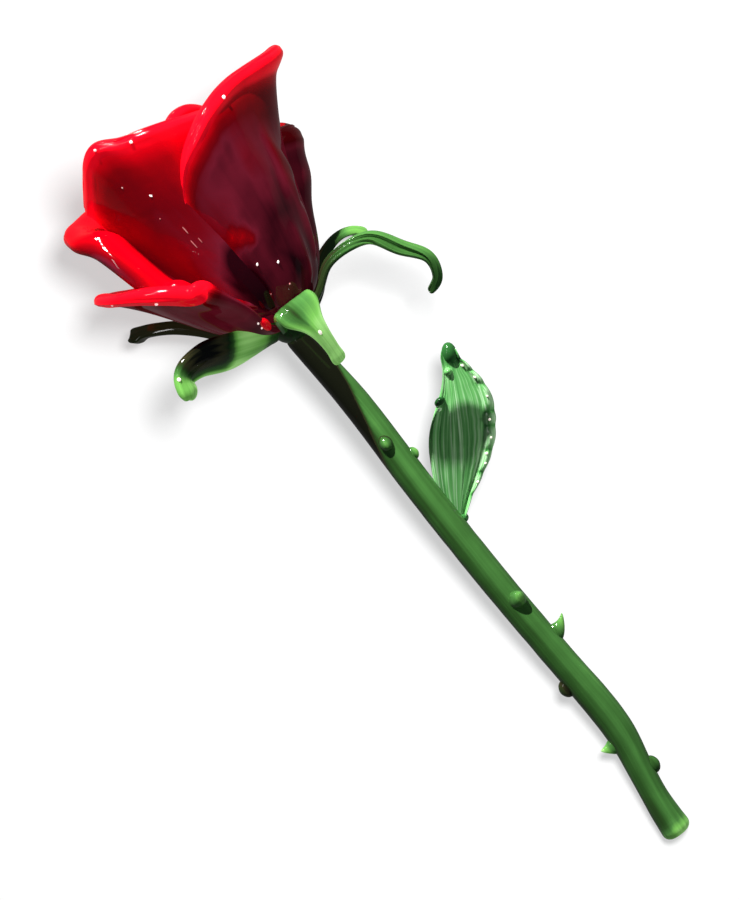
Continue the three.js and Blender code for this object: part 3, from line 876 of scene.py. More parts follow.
PETALS = (
    inner_petal("petal_inner_front", 27, 76, 116),
    inner_petal("petal_inner_rear", 158, 72, 108),
    inner_petal("petal_inner_left", 278, 74, 110),
    Petal(
        "petal_front", -21, (34, 62), 13.5, (36, 13), (33, 71), (48, 131),
        rim=(
            (-1, 0.84), (-0.7, 0.892), (-0.45, 0.95), (-0.2, 0.98), (0.02, 0.945), (0.2, 0.935),
            (0.51, 0.908), (1, 0.86),
        ),
        lip=9, turn=((-1, 40), (-0.4, 25), (1, 15)), sides=(32, 10),
        lap=((-1, 4), (-0.5, 0), (1, 0)), rim_thickness=7.5, fat_sides=(0.8, 0),
        body=((0, 0.04), (0.25, 0.12), (0.45, 0.3), (0.6, 0.4), (0.8, 0.52), (1, 0.85)),
        painted_pools=(
            PaintedPool(-0.05, 0.66, 0.35, 0.12, -0.16), PaintedPool(0.5, 0.33, 0.5, 0.25, -0.3),
            PaintedPool(0.3, 0.4, 0.28, 0.075, -0.3),
        ),
        drops=(
            *bubbles((0.31, 0.54, 1.5, 1.0), (-0.08, 0.69, 1.6, 1.0), (-0.23, 0.74, 1.2, 0.3)),
            Drop(-0.05, 0.57, 0.7, stretch=7.0, seed=0.15),
            Drop(-0.08, 0.52, 0.7, stretch=8.0, seed=0.12),
            Drop(0.0, 0.53, 0.6, stretch=6.0, seed=0.1),
            *bubbles((-0.17, 0.62, 0.9, 0.1), (0.1, 0.97, 1.8, 0.9), (-0.15, 0.97, 1.6, 0.5)),
        ),
    ),
    Petal(
        "petal_right_rear", 108, (34, 40), 9.5, (33, 8), (37, 52), (54, 79),
        rim=((-1, 0.9), (-0.5, 0.98), (-0.1, 0.92), (0.4, 0.99), (1, 0.88)),
        lip=8, turn=((-1, 20), (1, 60)), sides=(10, 40),
        lap=((-1, -10), (-0.6, -10), (-0.2, 2), (0.3, 1), (1, -10)), tips=(Tip(0, 0.4, 2, 1),),
        rim_thickness=7.0, body=((0, 0.0), (0.4, 0.06), (0.8, 0.12), (1, 0.16)), rim_light=2 / 7,
        folds=(Fold((-0.4, 0.66), (0.2, 0.7), 0.1, 4), Fold((-0.4, 0.84), (0.2, 0.86), 0.09, 3)),
    ),
    Petal(
        "petal_rear", 180, (34, 31), 9.5, (36, 8), (38, 60), (50, 98),
        rim=((-1, 0.93), (0, 0.98), (1, 0.93)), lip=9, turn=((-1, 55), (0, 30), (1, 55)),
        sides=(40, 40), lap=((-1, 6), (0, -6), (1, 6)), tips=(Tip(0, 0.5, 0, 1),),
    ),
    Petal(
        "petal_left", -92, (34, 34), 9.5, (36, 8), (46, 52), (58, 93),
        rim=(
            (-1, 0.97), (-0.5, 0.985), (0, 0.98), (0.3, 0.965), (0.6, 0.9), (0.8, 0.8), (1, 0.62),
        ),
        lip=17, turn=((-1, 10), (-0.4, 20), (0, 60), (0.3, 115), (1, 120)), sides=(10, 40),
        lap=((-1, -8), (-0.5, -6), (0, -2), (0.5, -6), (1, 0)), tips=(Tip(0.0, 0.22, 1, 2),),
        tucks=(LEVEL, ((0, 0), (0.2, 10), (0.42, 13), (0.6, 6), (0.8, 0), (1, 0))),
        rim_thickness=10.5, fat_sides=(0, 1), inside=-0.2,
        folds=(Fold((0.1, 1.05), (0.5, 0.84), 0.05, -2.4),),
        painted_pools=(PaintedPool(0.55, 1.0, 0.3, 0.06, -0.72),),
        drops=bubbles((-0.19, 0.94, 1.8, 0.8), (0.38, 0.93, 1.9, 0.9)),
    ),
    Petal(
        "petal_tall_right", 36, (48, 52), 8, (31, 5), (38, 60), (55, 119),
        rim=((-1, 0.73), (-0.8, 0.81), (-0.6, 0.875), (-0.1, 0.955), (0.45, 0.965), (1, 0.93)),
        lip=9, turn=((-1, 30), (0, 30), (1, 30)), sides=(10, 30), lap=((-1, 4), (0, 4), (1, 1)),
        tips=(Tip(0.82, 0.36, 17, -1), Tip(0.88, 0.16, 2, 3)),
        tucks=(((0, 0), (0.15, 8), (0.3, 7), (0.55, 11), (0.8, 14), (1, 16.5)), LEVEL),
        side_glow=(0.0, 0.0), rim_thickness=8.5,
        body=((0, 0.02), (0.4, 0.07), (0.65, 0.12), (0.8, 0.2), (1, 0.8)),
        folds=(
            Fold((-0.1, 0.7), (0.2, 0.6), 0.05, 1.5, 0.06),
            Fold((0.2, 0.6), (0.45, 0.5), 0.05, 2.6, 0.1),
            Fold((0.22, 0.68), (0.55, 0.56), 0.045, 2.4, 0.14),
            Fold((0.45, 0.5), (0.45, 0.28), 0.06, 2.0, 0.08),
            Fold((-0.35, 0.52), (0.1, 0.55), 0.06, 1.2),
            Fold((0.1, 0.47), (0.2, 0.2), 0.06, 1.6, 0.06),
        ),
        painted_pools=(
            PaintedPool(-1.0, 0.66, 0.3, 0.2, 0.35), PaintedPool(-0.52, 0.592, 0.06, 0.018, 0.3),
            PaintedPool(-0.45, 0.567, 0.06, 0.02, 0.4), PaintedPool(-0.39, 0.54, 0.05, 0.018, 0.4),
            PaintedPool(-0.6, 0.6, 0.2, 0.05, 0.15), PaintedPool(0.45, 0.77, 0.3, 0.07, 0.16),
            PaintedPool(0.3, 0.48, 0.4, 0.16, -0.05), PaintedPool(-0.7, 0.42, 0.3, 0.12, -0.12),
        ),
        drops=(
            Drop(0.78, 0.98, 8.6, 0.95, sunk=1.0),
            *bubbles(
                (-0.29, 0.40, 1.5, 1.0), (-0.48, 0.46, 1.6, 1.0), (-0.29, 0.29, 1.0, 0.2),
                (-0.27, 0.49, 0.8, 0.12), (-0.58, 0.33, 0.9, 0.12), (0.01, 0.955, 2.2, 0.9),
            ),
        ),
    ),
    Petal(
        "petal_low_left", -77, (30, 41), 4.6, (30, 2), (38, 40), (67, 67),
        rim=((-1, 0.8), (-0.1, 0.99), (0.5, 0.9), (1, 0.72)),
        lip=10, turn=((-1, 30), (0, 45), (1, 90)), sides=(30, 30),
        lap=((-1, 2), (1, 3)), tips=(Tip(-0.1, 0.4, -2, 0),),
        tucks=(LEVEL, ((0, 0), (0.25, 1), (0.55, 2.5), (0.8, 0), (1, 0))),
        side_glow=(1.0, 0.0), rim_thickness=11.0, fat_sides=(0.5, 0),
        rim_share=((-1, 1), (-0.2, 0.6), (0.12, 0.5), (0.5, 0.85), (0.8, 1), (1, 1)),
        body=((0, 0.04), (0.4, 0.1), (0.7, 0.18), (0.8, 0.35), (0.86, 0.7), (1, 0.8)),
        drops=(
            Drop(0.965, 0.33, 5.5, 0.9, stretch=2.3, sunk=0.8),
            *bubbles(
                (0.93, 0.41, 1.5, 1.0), (0.99, 0.36, 1.5, 1.0), (0.9, 0.35, 1.3, 1.0),
                (0.56, 0.985, 1.9, 0.9), (0.2, 0.985, 1.3, 0.6),
            ),
        ),
    ),
)


@dataclass
class Blade(GlassSheet):
    """A long blade of glass drawn along a line."""

    slot = Slot.GREEN
    columns = 20
    rows = 72
    edge = 0.1

    @abstractmethod
    def line(self) -> DrawnLine:
        """Line that the blade follows."""

    @abstractmethod
    def frame_at(self, v: float) -> tuple[Vector, float, float]:
        """Sideways direction, tilt in degrees and hollow of the blade at a place along."""

    @abstractmethod
    def width(self, u: float, v: float) -> float:
        """Width of the blade, which may differ from edge to edge."""

    def __post_init__(self) -> None:
        """Draws the line once."""
        self.drawn = self.line()

    def middle(self, u: float, v: float) -> Vector:
        """Goes across the line, tilted about it and hollowed.

        Args:
            u, v: Place across and along the blade.

        Returns:
            The point of its middle surface.
        """
        sideways, tilt, cup = self.frame_at(v)
        along = self.drawn.along(clamp(v, 0.0, 1.0))
        side = (sideways - along * sideways.dot(along)).normalized()
        side = Matrix.Rotation(math.radians(tilt), 3, along) @ side
        face = side.cross(along)
        return self.drawn.at(v) + side * (u * self.width(u, v) / 2) - face * (cup * u * u)


@dataclass
class Sepal(Blade):
    """A sepal pulled out of the calyx, with rolled margins and a round tip."""

    azimuth: Pair
    tilt: Pair
    cup: float
    path: Stations
    widths: Stations
    # light: painted light and shade along the sepal
    light: Stations = ((0, 0.2), (0.25, 0.6), (1, 0.65))
    margins: Pair = (0.4, 0.4)
    edges: Pair = (0.15, 0.15)
    bead: float = 1.35
    thickness: float = 4.2
    lift: Stations = LEVEL

    def line(self) -> DrawnLine:
        """Draws the sepal's line.

        Returns:
            The line, from the calyx to the tip.
        """
        last = len(self.path) - 1
        points = []
        for i, (reach, height) in enumerate(self.path):
            raised = Vector((0, -blend(self.lift, i / last), height))
            points.append(outward(mix(*self.azimuth, i / last)) * reach + raised)
        return DrawnLine(tuple(points))

    def frame_at(self, v: float) -> tuple[Vector, float, float]:
        """Square to the sepal's mean azimuth, with its own tilt and hollow."""
        return outward(mix(*self.azimuth, 0.5) + 90), mix(*self.tilt, v), self.cup

    def width(self, u: float, v: float) -> float:
        """Rounds the sepal at its tip.

        Args:
            u, v: Place across and along the sepal.

        Returns:
            The width there.
        """
        wide = blend(self.widths, v)
        past = clamp(1 - (1 - v) * self.drawn.length() / (wide / 2), 0.0, 1.0)
        return wide * math.sqrt(max(0.03, 1 - past * past))

    def half_thickness(self, u: float, v: float) -> float:
        """Half thickness, more along the rolled margins and at the tip."""
        roll = by_side(self.margins, u) * bell(abs(u), 0.8, 0.22) * smoothstep(v, 0.15, 0.4)
        return self.thickness * mix(1.0, self.bead, smoothstep(v, 0.82, 0.95)) / 2 + roll

    def size(self) -> Pair:
        """Rough half width and length."""
        return 8.0, self.drawn.length()

    def glow(self, u: float, v: float, face: Face) -> float:
        """Painted light and shade along the sepal and in its pools, lighter along the thin edges.
        """
        edge = by_side(self.edges, u) * smoothstep(abs(u), 0.55, 0.9)
        return blend(self.light, v) + edge + self.painted_light_and_shade(u, v)


SEPALS = (
    Sepal(
        "sepal_front", (2, 18), (0, 0), -1.5,
        path=((9, 2), (21, 9.5), (31, 11), (32.5, -2.5), (27, -16.5), (20, -27)),
        widths=(
            (0, 18), (0.25, 22), (0.42, 23.5), (0.5, 22), (0.58, 13), (0.7, 7), (0.85, 4.4),
            (0.94, 4.6), (1, 4.8),
        ),
        light=((0, 0.25), (0.2, 0.42), (0.45, 0.48), (0.6, 0.82), (1, 0.88)),
        folds=(Fold((-0.6, 0.4), (-0.1, 0.62), 0.12, -1.2),),
        painted_pools=(PaintedPool(-0.3, 0.5, 0.16, 0.12, -0.3),),
        drops=(Drop(-0.1, 0.66, 2.6, stretch=1.5, sunk=0.35, seed=0.8, face=Face.INNER),),
    ),
    Sepal(
        "sepal_right", (52, 76), (0, 125), 1,
        path=(
            (9, 1), (24, 8), (37, 17), (52, 18), (62, 14.5), (69.5, 1.5), (77, -10), (73.5, -21),
            (65, -26),
        ),
        widths=(
            (0, 16), (0.12, 10), (0.22, 6.5), (0.35, 5.2), (0.5, 6.2), (0.6, 7.6), (0.72, 5.6),
            (0.85, 4.2), (1, 3.6),
        ),
        light=((0, 0.03), (0.25, 0.06), (0.38, 0.34), (0.7, 0.38), (0.85, 0.25), (1, 0.15)),
        folds=(Fold((0.1, 0.4), (-0.2, 0.8), 0.2, 0.8),), bead=1.0, thickness=3.6,
        lift=(
            (0, 0), (0.125, 2), (0.25, 3.4), (0.375, 0.8), (0.5, -2.2), (0.625, -1.6), (0.8, 0),
            (1, 0),
        ),
    ),
    Sepal(
        "sepal_right_rear", (122, 122), (0, 10), 1,
        path=((9, 0), (20, 5), (34, 16), (48, 20), (59, 18), (66, 11)),
        widths=((0, 16), (0.25, 11), (0.5, 6), (0.9, 5.5), (1, 5)),
        light=((0, 0.05), (0.6, 0.1), (0.75, 0.5), (1, 0.6)),
    ),
    Sepal(
        "sepal_left", (-66, -66), (20, 55), 3,
        path=((9, 1), (22, 4), (38, 9), (54, 15), (66, 14), (70, 4)),
        widths=((0, 16), (0.4, 25), (0.7, 17), (0.86, 13), (1, 11)),
        # painted light on a patch near the calyx, along the lower margin and on the hook, with
        # painted shade between
        light=(
            (0, 0.15), (0.12, 0.5), (0.2, 0.84), (0.36, 0.86), (0.45, 0.12), (0.74, 0.11),
            (0.84, 0.7), (1, 0.75),
        ),
        margins=(1.4, 0.2), edges=(0.1, 0.0),
        painted_pools=(PaintedPool(-0.95, 0.58, 0.55, 0.3, 0.95), PaintedPool(-0.5, 0.27, 0.8, 0.14, -0.3)),
        drops=bubbles((0.8, 0.83, 2.2, 0.9)),
    ),
    Sepal(
        "sepal_left_rear", (-112, -112), (0, 20), 1,
        path=((9, 0), (20, 3), (30, 11), (42, 23.5), (56, 34), (69, 40), (77, 41)),
        widths=((0, 16), (0.3, 14), (0.7, 10), (0.88, 8), (1, 8)),
        light=((0, 0.03), (0.8, 0.08), (1, 0.1)), edges=(0.0, 0.04), thickness=6.0,
    ),
)


def draw_rings(bm: Mesh, sides: int, places: Sequence[Matrix]) -> list[list[bmesh.types.BMVert]]:
    """Draws a closed rod, a circle extruded from place to place.

    Args:
        bm: Mesh that takes it.
        sides: Corners of the circle.
        places: Matrices that take a circle of radius 1 to each ring.

    Returns:
        The vertices of each ring.
    """
    ring = bmesh.ops.create_circle(
        bm, cap_ends=True, segments=sides, radius=1.0, matrix=places[0]
    )["verts"]
    edges = list({edge for vert in ring for edge in vert.link_edges})
    rings = [ring]
    for before, place in zip(places, places[1:]):
        made = bmesh.ops.extrude_edge_only(bm, edges=edges)["geom"]
        ring = [item for item in made if isinstance(item, bmesh.types.BMVert)]
        edges = [item for item in made if isinstance(item, bmesh.types.BMEdge)]
        bmesh.ops.transform(bm, matrix=place @ before.inverted(), verts=ring)
        rings.append(ring)
    bmesh.ops.contextual_create(bm, geom=edges)
    return rings


@dataclass
class Stem:
    """A bowed green rod with a neck at the top and a flat, fire-polished foot."""

    length: float = 316.0
    girth: Stations = (
        (0, 13), (0.16, 15.4), (0.66, 15.4), (0.77, 16.2), (0.9, 13.6), (0.96, 14.6), (1, 16.6),
    )
    bends: Stations = (
        (0, -3.5), (0.13, 0), (0.3, 0.4), (0.48, 2), (0.63, 4.6),
        (0.76, 7.3), (0.82, 7), (0.88, 4), (0.94, 1.4), (1, 0.5),
    )
    neck: float = 4.0
    foot_rounding: float = 4.2
    unevenness: float = 0.02
    # painted shade along the left side, a painted shadow slanting across the neck and a painted
    # highlight on the foot
    painted_side_shade: Pair = (0.28, 0.46)
    painted_neck_shadow: float = -0.4
    painted_shadow_slant: Pair = (0.85, -1.1)
    neck_from: float = 18.0
    neck_to: float = 80.0
    painted_foot_highlight: float = 0.35
    sides: int = 40
    steps: int = 90

    def at(self, down: float) -> Vector:
        """Middle of the stem at a depth below its top."""
        return Vector((blend(self.bends, down / self.length), 0.0, STEM_TOP - down))

    def radius(self, down: float) -> float:
        """Radius of the stem at a depth below its top."""
        return blend(self.girth, down / self.length) / 2

    def rings(self) -> list[Pair]:
        """Lists the rings from inside the calyx to the flat foot.

        Returns:
            Depth and radius of each ring.
        """
        straight = self.length - self.foot_rounding
        rings = [(-self.neck, self.radius(0))]
        for k in range(self.steps + 1):
            down = straight * k / self.steps
            uneven = 1 + self.unevenness * noise.noise(Vector((0, 0, down / 9)))
            rings.append((down, self.radius(down) * uneven))
        for turn in (20, 45, 70, 90):
            drop = self.foot_rounding * math.sin(math.radians(turn))
            sink = self.foot_rounding * (1 - math.cos(math.radians(turn)))
            rings.append((straight + drop, self.radius(straight) - sink))
        for share in (0.8, 0.45):
            rings.append((self.length, (self.radius(straight) - self.foot_rounding) * share))
        return rings

    def glow(self, side: float, down: float) -> float:
        """Paints light and shade on the rod: painted shade along its left side, a painted shadow
        slanting across its neck and a painted highlight at its foot.

        Args:
            side: Place across the rod, from -1 to 1.
            down: Depth below its top.

        Returns:
            How bright the glass is.
        """
        share = (down - self.neck_from) / (self.neck_to - self.neck_from)
        slant = clamp(mix(*self.painted_shadow_slant, share), -1.3, 1.3)
        neck = mix(self.painted_neck_shadow, 1.0, smoothstep(side - slant, -0.2, 0.2))
        foot = self.painted_foot_highlight * smoothstep(down, self.length - 9, self.length - 2)
        return mix(*self.painted_side_shade, smoothstep(side, -0.55, 0.15)) * neck + foot

    def build(self, workshop: Workshop) -> Piece:
        """Draws the rod ring by ring.

        Args:
            workshop: Where the piece is finished.

        Returns:
            The piece.
        """
        bm, flow, glow = workshop.start()
        steps = self.rings()
        places = [
            Matrix.Translation(self.at(down)) @ Matrix.Diagonal((radius, radius, 1, 1))
            for down, radius in steps
        ]
        for (down, radius), ring in zip(steps, draw_rings(bm, self.sides, places)):
            for vert in ring:
                off = vert.co - self.at(down)
                vert[flow] = Vector((off.x, off.y, down))
                vert[glow] = self.glow(off.x / radius, down)
        return workshop.finish(bm, "stem", Slot.GREEN, levels=1)


@dataclass
class Leaf(Blade):
    """A pressed leaf with lengthwise ribs, a crimped right margin and a knob at the tip."""

    stem: Stem
    length: float = 91.0
    thickness: float = 3.8
    foot_down: float = 124.0
    foot_offset: tuple[float, float, float] = (3.08, 2, 0)
    bow: tuple[float, float, float] = (2.9, -3, -1.9)
    lean: float = 33.0
    hollow: float = 0.5
    left: Stations = (
        (0, 3), (0.06, 6), (0.2, 12.3), (0.4, 16), (0.53, 15.6), (0.65, 12), (0.78, 6.6),
        (0.88, 4.2), (0.95, 4.2), (1, 2.5),
    )
    right: Stations = (
        (0, 2.5), (0.08, 2.6), (0.2, 7), (0.32, 12), (0.45, 16.4), (0.58, 18.2), (0.68, 18),
        (0.78, 15), (0.88, 9), (0.94, 4.6), (1, 2.5),
    )
    crimps: tuple[float, ...] = (0.04, 0.19, 0.31, 0.43, 0.55, 0.62, 0.77, 0.85, 0.92, 1.0)
    crimp_depth: float = 1.0
    roll: float = 1.7
    left_roll: float = 0.5
    ribs: float = 44.0
    rib_height: float = 0.5
    groove: float = 0.5
    light: float = 0.66
    # painted shade in the margin's creases and painted light on the margin
    crease_shade: float = 0.5
    margin_light: float = 0.1
    tip_shade: float = 0.3
    slot = Slot.LEAF
    columns = 64
    rows = 130
    edge = 0.06

    def line(self) -> DrawnLine:
        """Draws the leaf's line, a little bowed.

        Returns:
            The line, from the stem to the tip.
        """
        lean = math.radians(self.lean)
        along = Vector((math.sin(lean), 0, math.cos(lean)))
        foot = self.stem.at(self.foot_down) + Vector(self.foot_offset)
        halfway = foot + along * self.length / 2 + Vector(self.bow)
        return DrawnLine((foot, halfway, foot + along * self.length))

    def frame_at(self, v: float) -> tuple[Vector, float, float]:
        """Facing the viewer, slightly hollow."""
        lean = math.radians(self.lean)
        return Vector((math.cos(lean), 0, -math.sin(lean))), 0.0, self.hollow

    def lobe(self, v: float) -> float:
        """Swells the crimped margin.

        Args:
            v: Place along the leaf.

        Returns:
            From 0 in a crease to 1 on a lobe.
        """
        for low, high in zip(self.crimps, self.crimps[1:]):
            if low <= v <= high:
                return math.sqrt(math.sin(math.pi * (v - low) / (high - low)))
        return 0.0

    def width(self, u: float, v: float) -> float:
        """Twice the half width on the side of u."""
        crimped = blend(self.right, v) + self.crimp_depth * (self.lobe(v) - 0.5)
        return 2 * (blend(self.left, v) if u < 0 else crimped)

    def half_thickness(self, u: float, v: float) -> float:
        """Half thickness, fuller in the rolled margins."""
        right = self.roll * mix(0.2, 1.0, self.lobe(v)) * bell(u, 0.84, 0.13)
        return self.thickness / 2 + right + self.left_roll * bell(u, -0.88, 0.12)

    def relief(self, u: float, v: float) -> float:
        """Presses lengthwise ribs, and a groove beside the rolled margin.

        Args:
            u, v: Place across and along the leaf.

        Returns:
            How far it is pressed out there.
        """
        waver = 3 * noise.noise(Vector((u * 4, v * 2, 0)))
        ribs = math.sin(u * self.ribs + waver) * noise.noise(Vector((u * 9, v * 3, 4)))
        face = smoothstep(0.66 - u, 0.0, 0.1)
        face *= smoothstep(v, 0.02, 0.2) * smoothstep(1 - v, 0.05, 0.2)
        return self.rib_height * ribs * face - self.groove * bell(u, 0.66, 0.05)

    def size(self) -> Pair:
        """Rough half width and length."""
        return 17.0, self.length

    def glow(self, u: float, v: float, face: Face) -> float:
        """Paints shade into the margin's creases and light onto the margin, and darkens the tip.

        Args:
            u, v: Place across and along the leaf.
            face: Face of the leaf.

        Returns:
            How bright the glass is.
        """
        crease = self.crease_shade * (1 - self.lobe(v)) ** 2 * smoothstep(u, 0.6, 0.8)
        margin = self.margin_light * smoothstep(u, 0.62, 0.74)
        tip = self.tip_shade * smoothstep(v, 0.88, 0.92)
        return self.light - crease + margin - tip + self.painted_light_and_shade(u, v)


LEAF_DROPS = (
    Drop(0.1, 0.96, 8.5, 0.3, stretch=1.5, sunk=1.0),
    Drop(-0.4, 0.865, 4.6, 0.55, sunk=0.3),
    Drop(-0.88, 0.71, 5.5, 0.05, sunk=0.3),
    Drop(-0.8, 0.665, 2.6, 0.95),
    Drop(0.7, 0.05, 6.0, 0.35, sunk=0.6),
    *bubbles(
        (0.8, 0.26, 1.4, 0.8), (0.84, 0.36, 1.2, 0.7), (0.8, 0.41, 1.5, 0.8),
        (0.84, 0.49, 1.3, 0.8), (0.8, 0.58, 1.4, 0.8), (0.84, 0.7, 1.2, 0.7),
        (0.76, 0.81, 1.5, 0.8), (0.6, 0.885, 1.6, 0.9),
    ),
)


@dataclass(frozen=True)
class Thorn:
    """A drop of glass on the stem, pulled out and lifted at the tip."""

    down: float
    azimuth: float
    length: float
    width: float
    height: float
    lift: float
    blunt: float
    light: Pair = (0.4, 0.8)
    shares = (-0.45, 0.0, 0.3, 0.65, 0.9, 1.0)
    sharp_girths = (1.05, 1.0, 0.62, 0.3, 0.14, 0.06)
    blunt_girths = (1.05, 1.0, 0.94, 0.74, 0.4, 0.14)
    sides = 16

    def place(self, stem: Stem, share: float, girth: float) -> Matrix:
        """Places a ring of the thorn.

        Args:
            stem: Stem that carries it.
            share: Place along the thorn, below 0 inside the stem.
            girth: Share of the full width there.

        Returns:
            The matrix that takes a circle of radius 1 there.
        """
        out, side = outward(self.azimuth), outward(self.azimuth + 90)
        middle = stem.at(self.down) + out * (stem.radius(self.down) + share * self.length)
        middle.z += self.lift * max(0.0, share) ** 2
        turned = Matrix((side, Vector((0, 0, 1)), out)).transposed().to_4x4()
        sized = Matrix.Diagonal((girth * self.width / 2, girth * self.height / 2, 1, 1))
        return Matrix.Translation(middle) @ turned @ sized

    def build(self, workshop: Workshop, stem: Stem, name: str) -> Piece:
        """Draws the thorn ring by ring out of the stem.

        Args:
            workshop: Where the piece is finished.
            stem: Stem that carries it.
            name: Node that it stands for.

        Returns:
            The piece.
        """
        bm, flow, glow = workshop.start()
        girths = [mix(a, b, self.blunt) for a, b in zip(self.sharp_girths, self.blunt_girths)]
        places = [self.place(stem, share, girth) for share, girth in zip(self.shares, girths)]
        for share, ring in zip(self.shares, draw_rings(bm, self.sides, places)):
            for vert in ring:
                vert[flow] = vert.co.copy()
                vert[glow] = mix(*self.light, max(0.0, share))
        return workshop.finish(bm, name, Slot.GREEN, levels=2)


THORNS = (
    Thorn(67, -4, 4, 7, 9, 0, 1.0, (0.1, 0.6)),
    Thorn(80, 86, 2.6, 6, 7, 0, 1.0),
    Thorn(170, 22, 6.5, 9, 10, 2, 0.85, (0.35, 0.6)),
    Thorn(196, 86, 7.5, 7, 10, 6, 0.45),
    Thorn(222, -86, 3.6, 7, 10, 0, 1.0, (0.05, 0.25)),
    Thorn(260, -86, 5.8, 6, 9, 2, 0.25, (0.4, 0.95)),
    Thorn(279, 86, 3.4, 7, 10, 0, 1.0, (0.3, 0.45)),
)


@dataclass
class TurnedGlass:
    """A body of glass turned about an upright axis, from points of radius and height."""

    name: str
    slot: Slot
    profile: Stations
    axis: float = 0.0
    light: float = 0.3
    steps = 40

    def build(self, workshop: Workshop) -> Piece:
        """Spins the profile.

        Args:
            workshop: Where the piece is finished.

        Returns:
            The piece.
        """
        bm, flow, glow = workshop.start()
        line = [bm.verts.new((self.axis + radius, 0, height)) for radius, height in self.profile]
        edges = [bm.edges.new(pair) for pair in zip(line, line[1:])]
        bmesh.ops.spin(
            bm, geom=line + edges, cent=(self.axis, 0, 0), axis=(0, 0, 1),
            angle=math.tau, steps=self.steps, use_merge=True,
        )
        bmesh.ops.remove_doubles(bm, verts=bm.verts[:], dist=0.01)
        for vert in bm.verts:
            vert[flow] = vert.co.copy()
            vert[glow] = self.light
        return workshop.finish(bm, self.name, self.slot, levels=1)


def core_profile() -> Stations:
    """Draws the trunk that the petals are pressed on, swelling into a pointed bud.

    Returns:
        Points of radius and height, from the bottom to the tip.
    """
    neck, top = CORE_BOTTOM + 30, CORE_BOTTOM + 88
    bud = ((10, neck), (15.5, mix(neck, top, 0.4)), (13.5, mix(neck, top, 0.75)), (0, top))
    points = [(0.0, CORE_BOTTOM), (9.0, CORE_BOTTOM), (10.0, CORE_BOTTOM + 1)]
    for k in range(13):
        spot, _ = curve(bud, k / 12)
        points.append((max(spot.x, 0.0), spot.y))
    return points


CALYX_PROFILE: Stations = (
    (0, -7), (5.8, -7), (6.5, -6.4), (9.8, -3.4), (12, 2), (11.8, 4), (11, 5), (0, 5),
)


@dataclass
class Stalk:
    """The stem, with the thorns and the leaf that are fused to it."""

    stem: Stem = field(default_factory=Stem)
    thorns: tuple[Thorn, ...] = THORNS

    def build(self, workshop: Workshop) -> None:
        """Builds the stem and what it carries.

        Args:
            workshop: Where the pieces are finished.
        """
        self.stem.build(workshop)
        for i, thorn in enumerate(self.thorns):
            thorn.build(workshop, self.stem, f"thorn_{i + 1}")
        Leaf("leaf", self.stem, drops=LEAF_DROPS).build(workshop)


@dataclass
class Cup:
    """The calyx, off the axis as the stem's neck is, with the sepals pulled out of it."""

    axis: float = -1.75
    light: float = 0.2
    sepals: tuple[Sepal, ...] = SEPALS

    def build(self, workshop: Workshop) -> None:
        """Builds the calyx and its sepals.

        Args:
            workshop: Where the pieces are finished.
        """
        TurnedGlass("calyx", Slot.GREEN, CALYX_PROFILE, self.axis, self.light).build(workshop)
        for sepal in self.sepals:
            sepal.build(workshop)


@dataclass
class Bloom:
    """The core, with the petals pressed on it from the inside out."""

    petals: tuple[Petal, ...] = PETALS

    def build(self, workshop: Workshop) -> None:
        """Builds the core and its petals.

        Args:
            workshop: Where the pieces are finished.
        """
        TurnedGlass("bud_core", Slot.RED, core_profile()).build(workshop)
        for petal in self.petals:
            petal.build(workshop)


def raised(degrees: float) -> Vector:
    """Direction of the light, over the tips of the petals, at a height in degrees."""
    height = math.radians(degrees)
    return Vector((0.989 * math.cos(height), -0.147 * math.cos(height), math.sin(height)))


def gather(name: str, around: Iterable[Piece], starts: tuple[str, ...]) -> bpy.types.Collection:
    """Collects objects by the way their names start.

    Args:
        name: Name of the collection.
        around: Objects to choose from.
        starts: The starts of their names.

    Returns:
        The collection.
    """
    made = bpy.data.collections.new(name)
    for piece in around:
        if piece.name.startswith(starts):
            made.objects.link(piece)
    return made


@dataclass(frozen=True)
class Lamp:
    """A lamp that faces the rose, with the pieces that it lights and that shade them from it."""

    name: str
    towards: Vector
    size: float
    level: float
    lights: tuple[str, ...]
    blockers: tuple[str, ...] = ()
    left_out: Ray = Ray.GLOSSY
    distance: float = 2.0
    strip_width: float = 0.0
    target = Vector((0.06, 0.0, 0.04))

    def hang(self, around: Sequence[Piece]) -> None:
        """Hangs the lamp; a level of 1 shows a colour that faces it as it is.

        Args:
            around: Every object that it may light.
        """
        data = bpy.data.lights.new(self.name, "AREA")
        data.shape = "DISK"
        data.size = self.size
        if self.strip_width:
            data.shape = "RECTANGLE"
            data.size_y = self.strip_width
        data.energy = self.level * (math.pi * self.distance) ** 2
        lamp = bpy.data.objects.new(self.name, data)
        place = Matrix.Translation(self.target + self.towards.normalized() * self.distance)
        lamp.matrix_world = place @ self.towards.to_track_quat("Z", "Y").to_matrix().to_4x4()
        bpy.context.scene.collection.objects.link(lamp)
        setattr(lamp, self.left_out.value, False)
        linking = lamp.light_linking
        linking.receiver_collection = gather(f"{self.name}_light", around, self.lights)
        if self.blockers:
            linking.blocker_collection = gather(f"{self.name}_shade", around, self.blockers)
        LOG.info("lamp %s", self.name)


BLOOM_NAMES = ("petal", "bud", "calyx", "sepal")
STALK_NAMES = ("stem", "thorn")
LEAF_NAMES = ("leaf",)
ROSE_NAMES = BLOOM_NAMES + STALK_NAMES + LEAF_NAMES

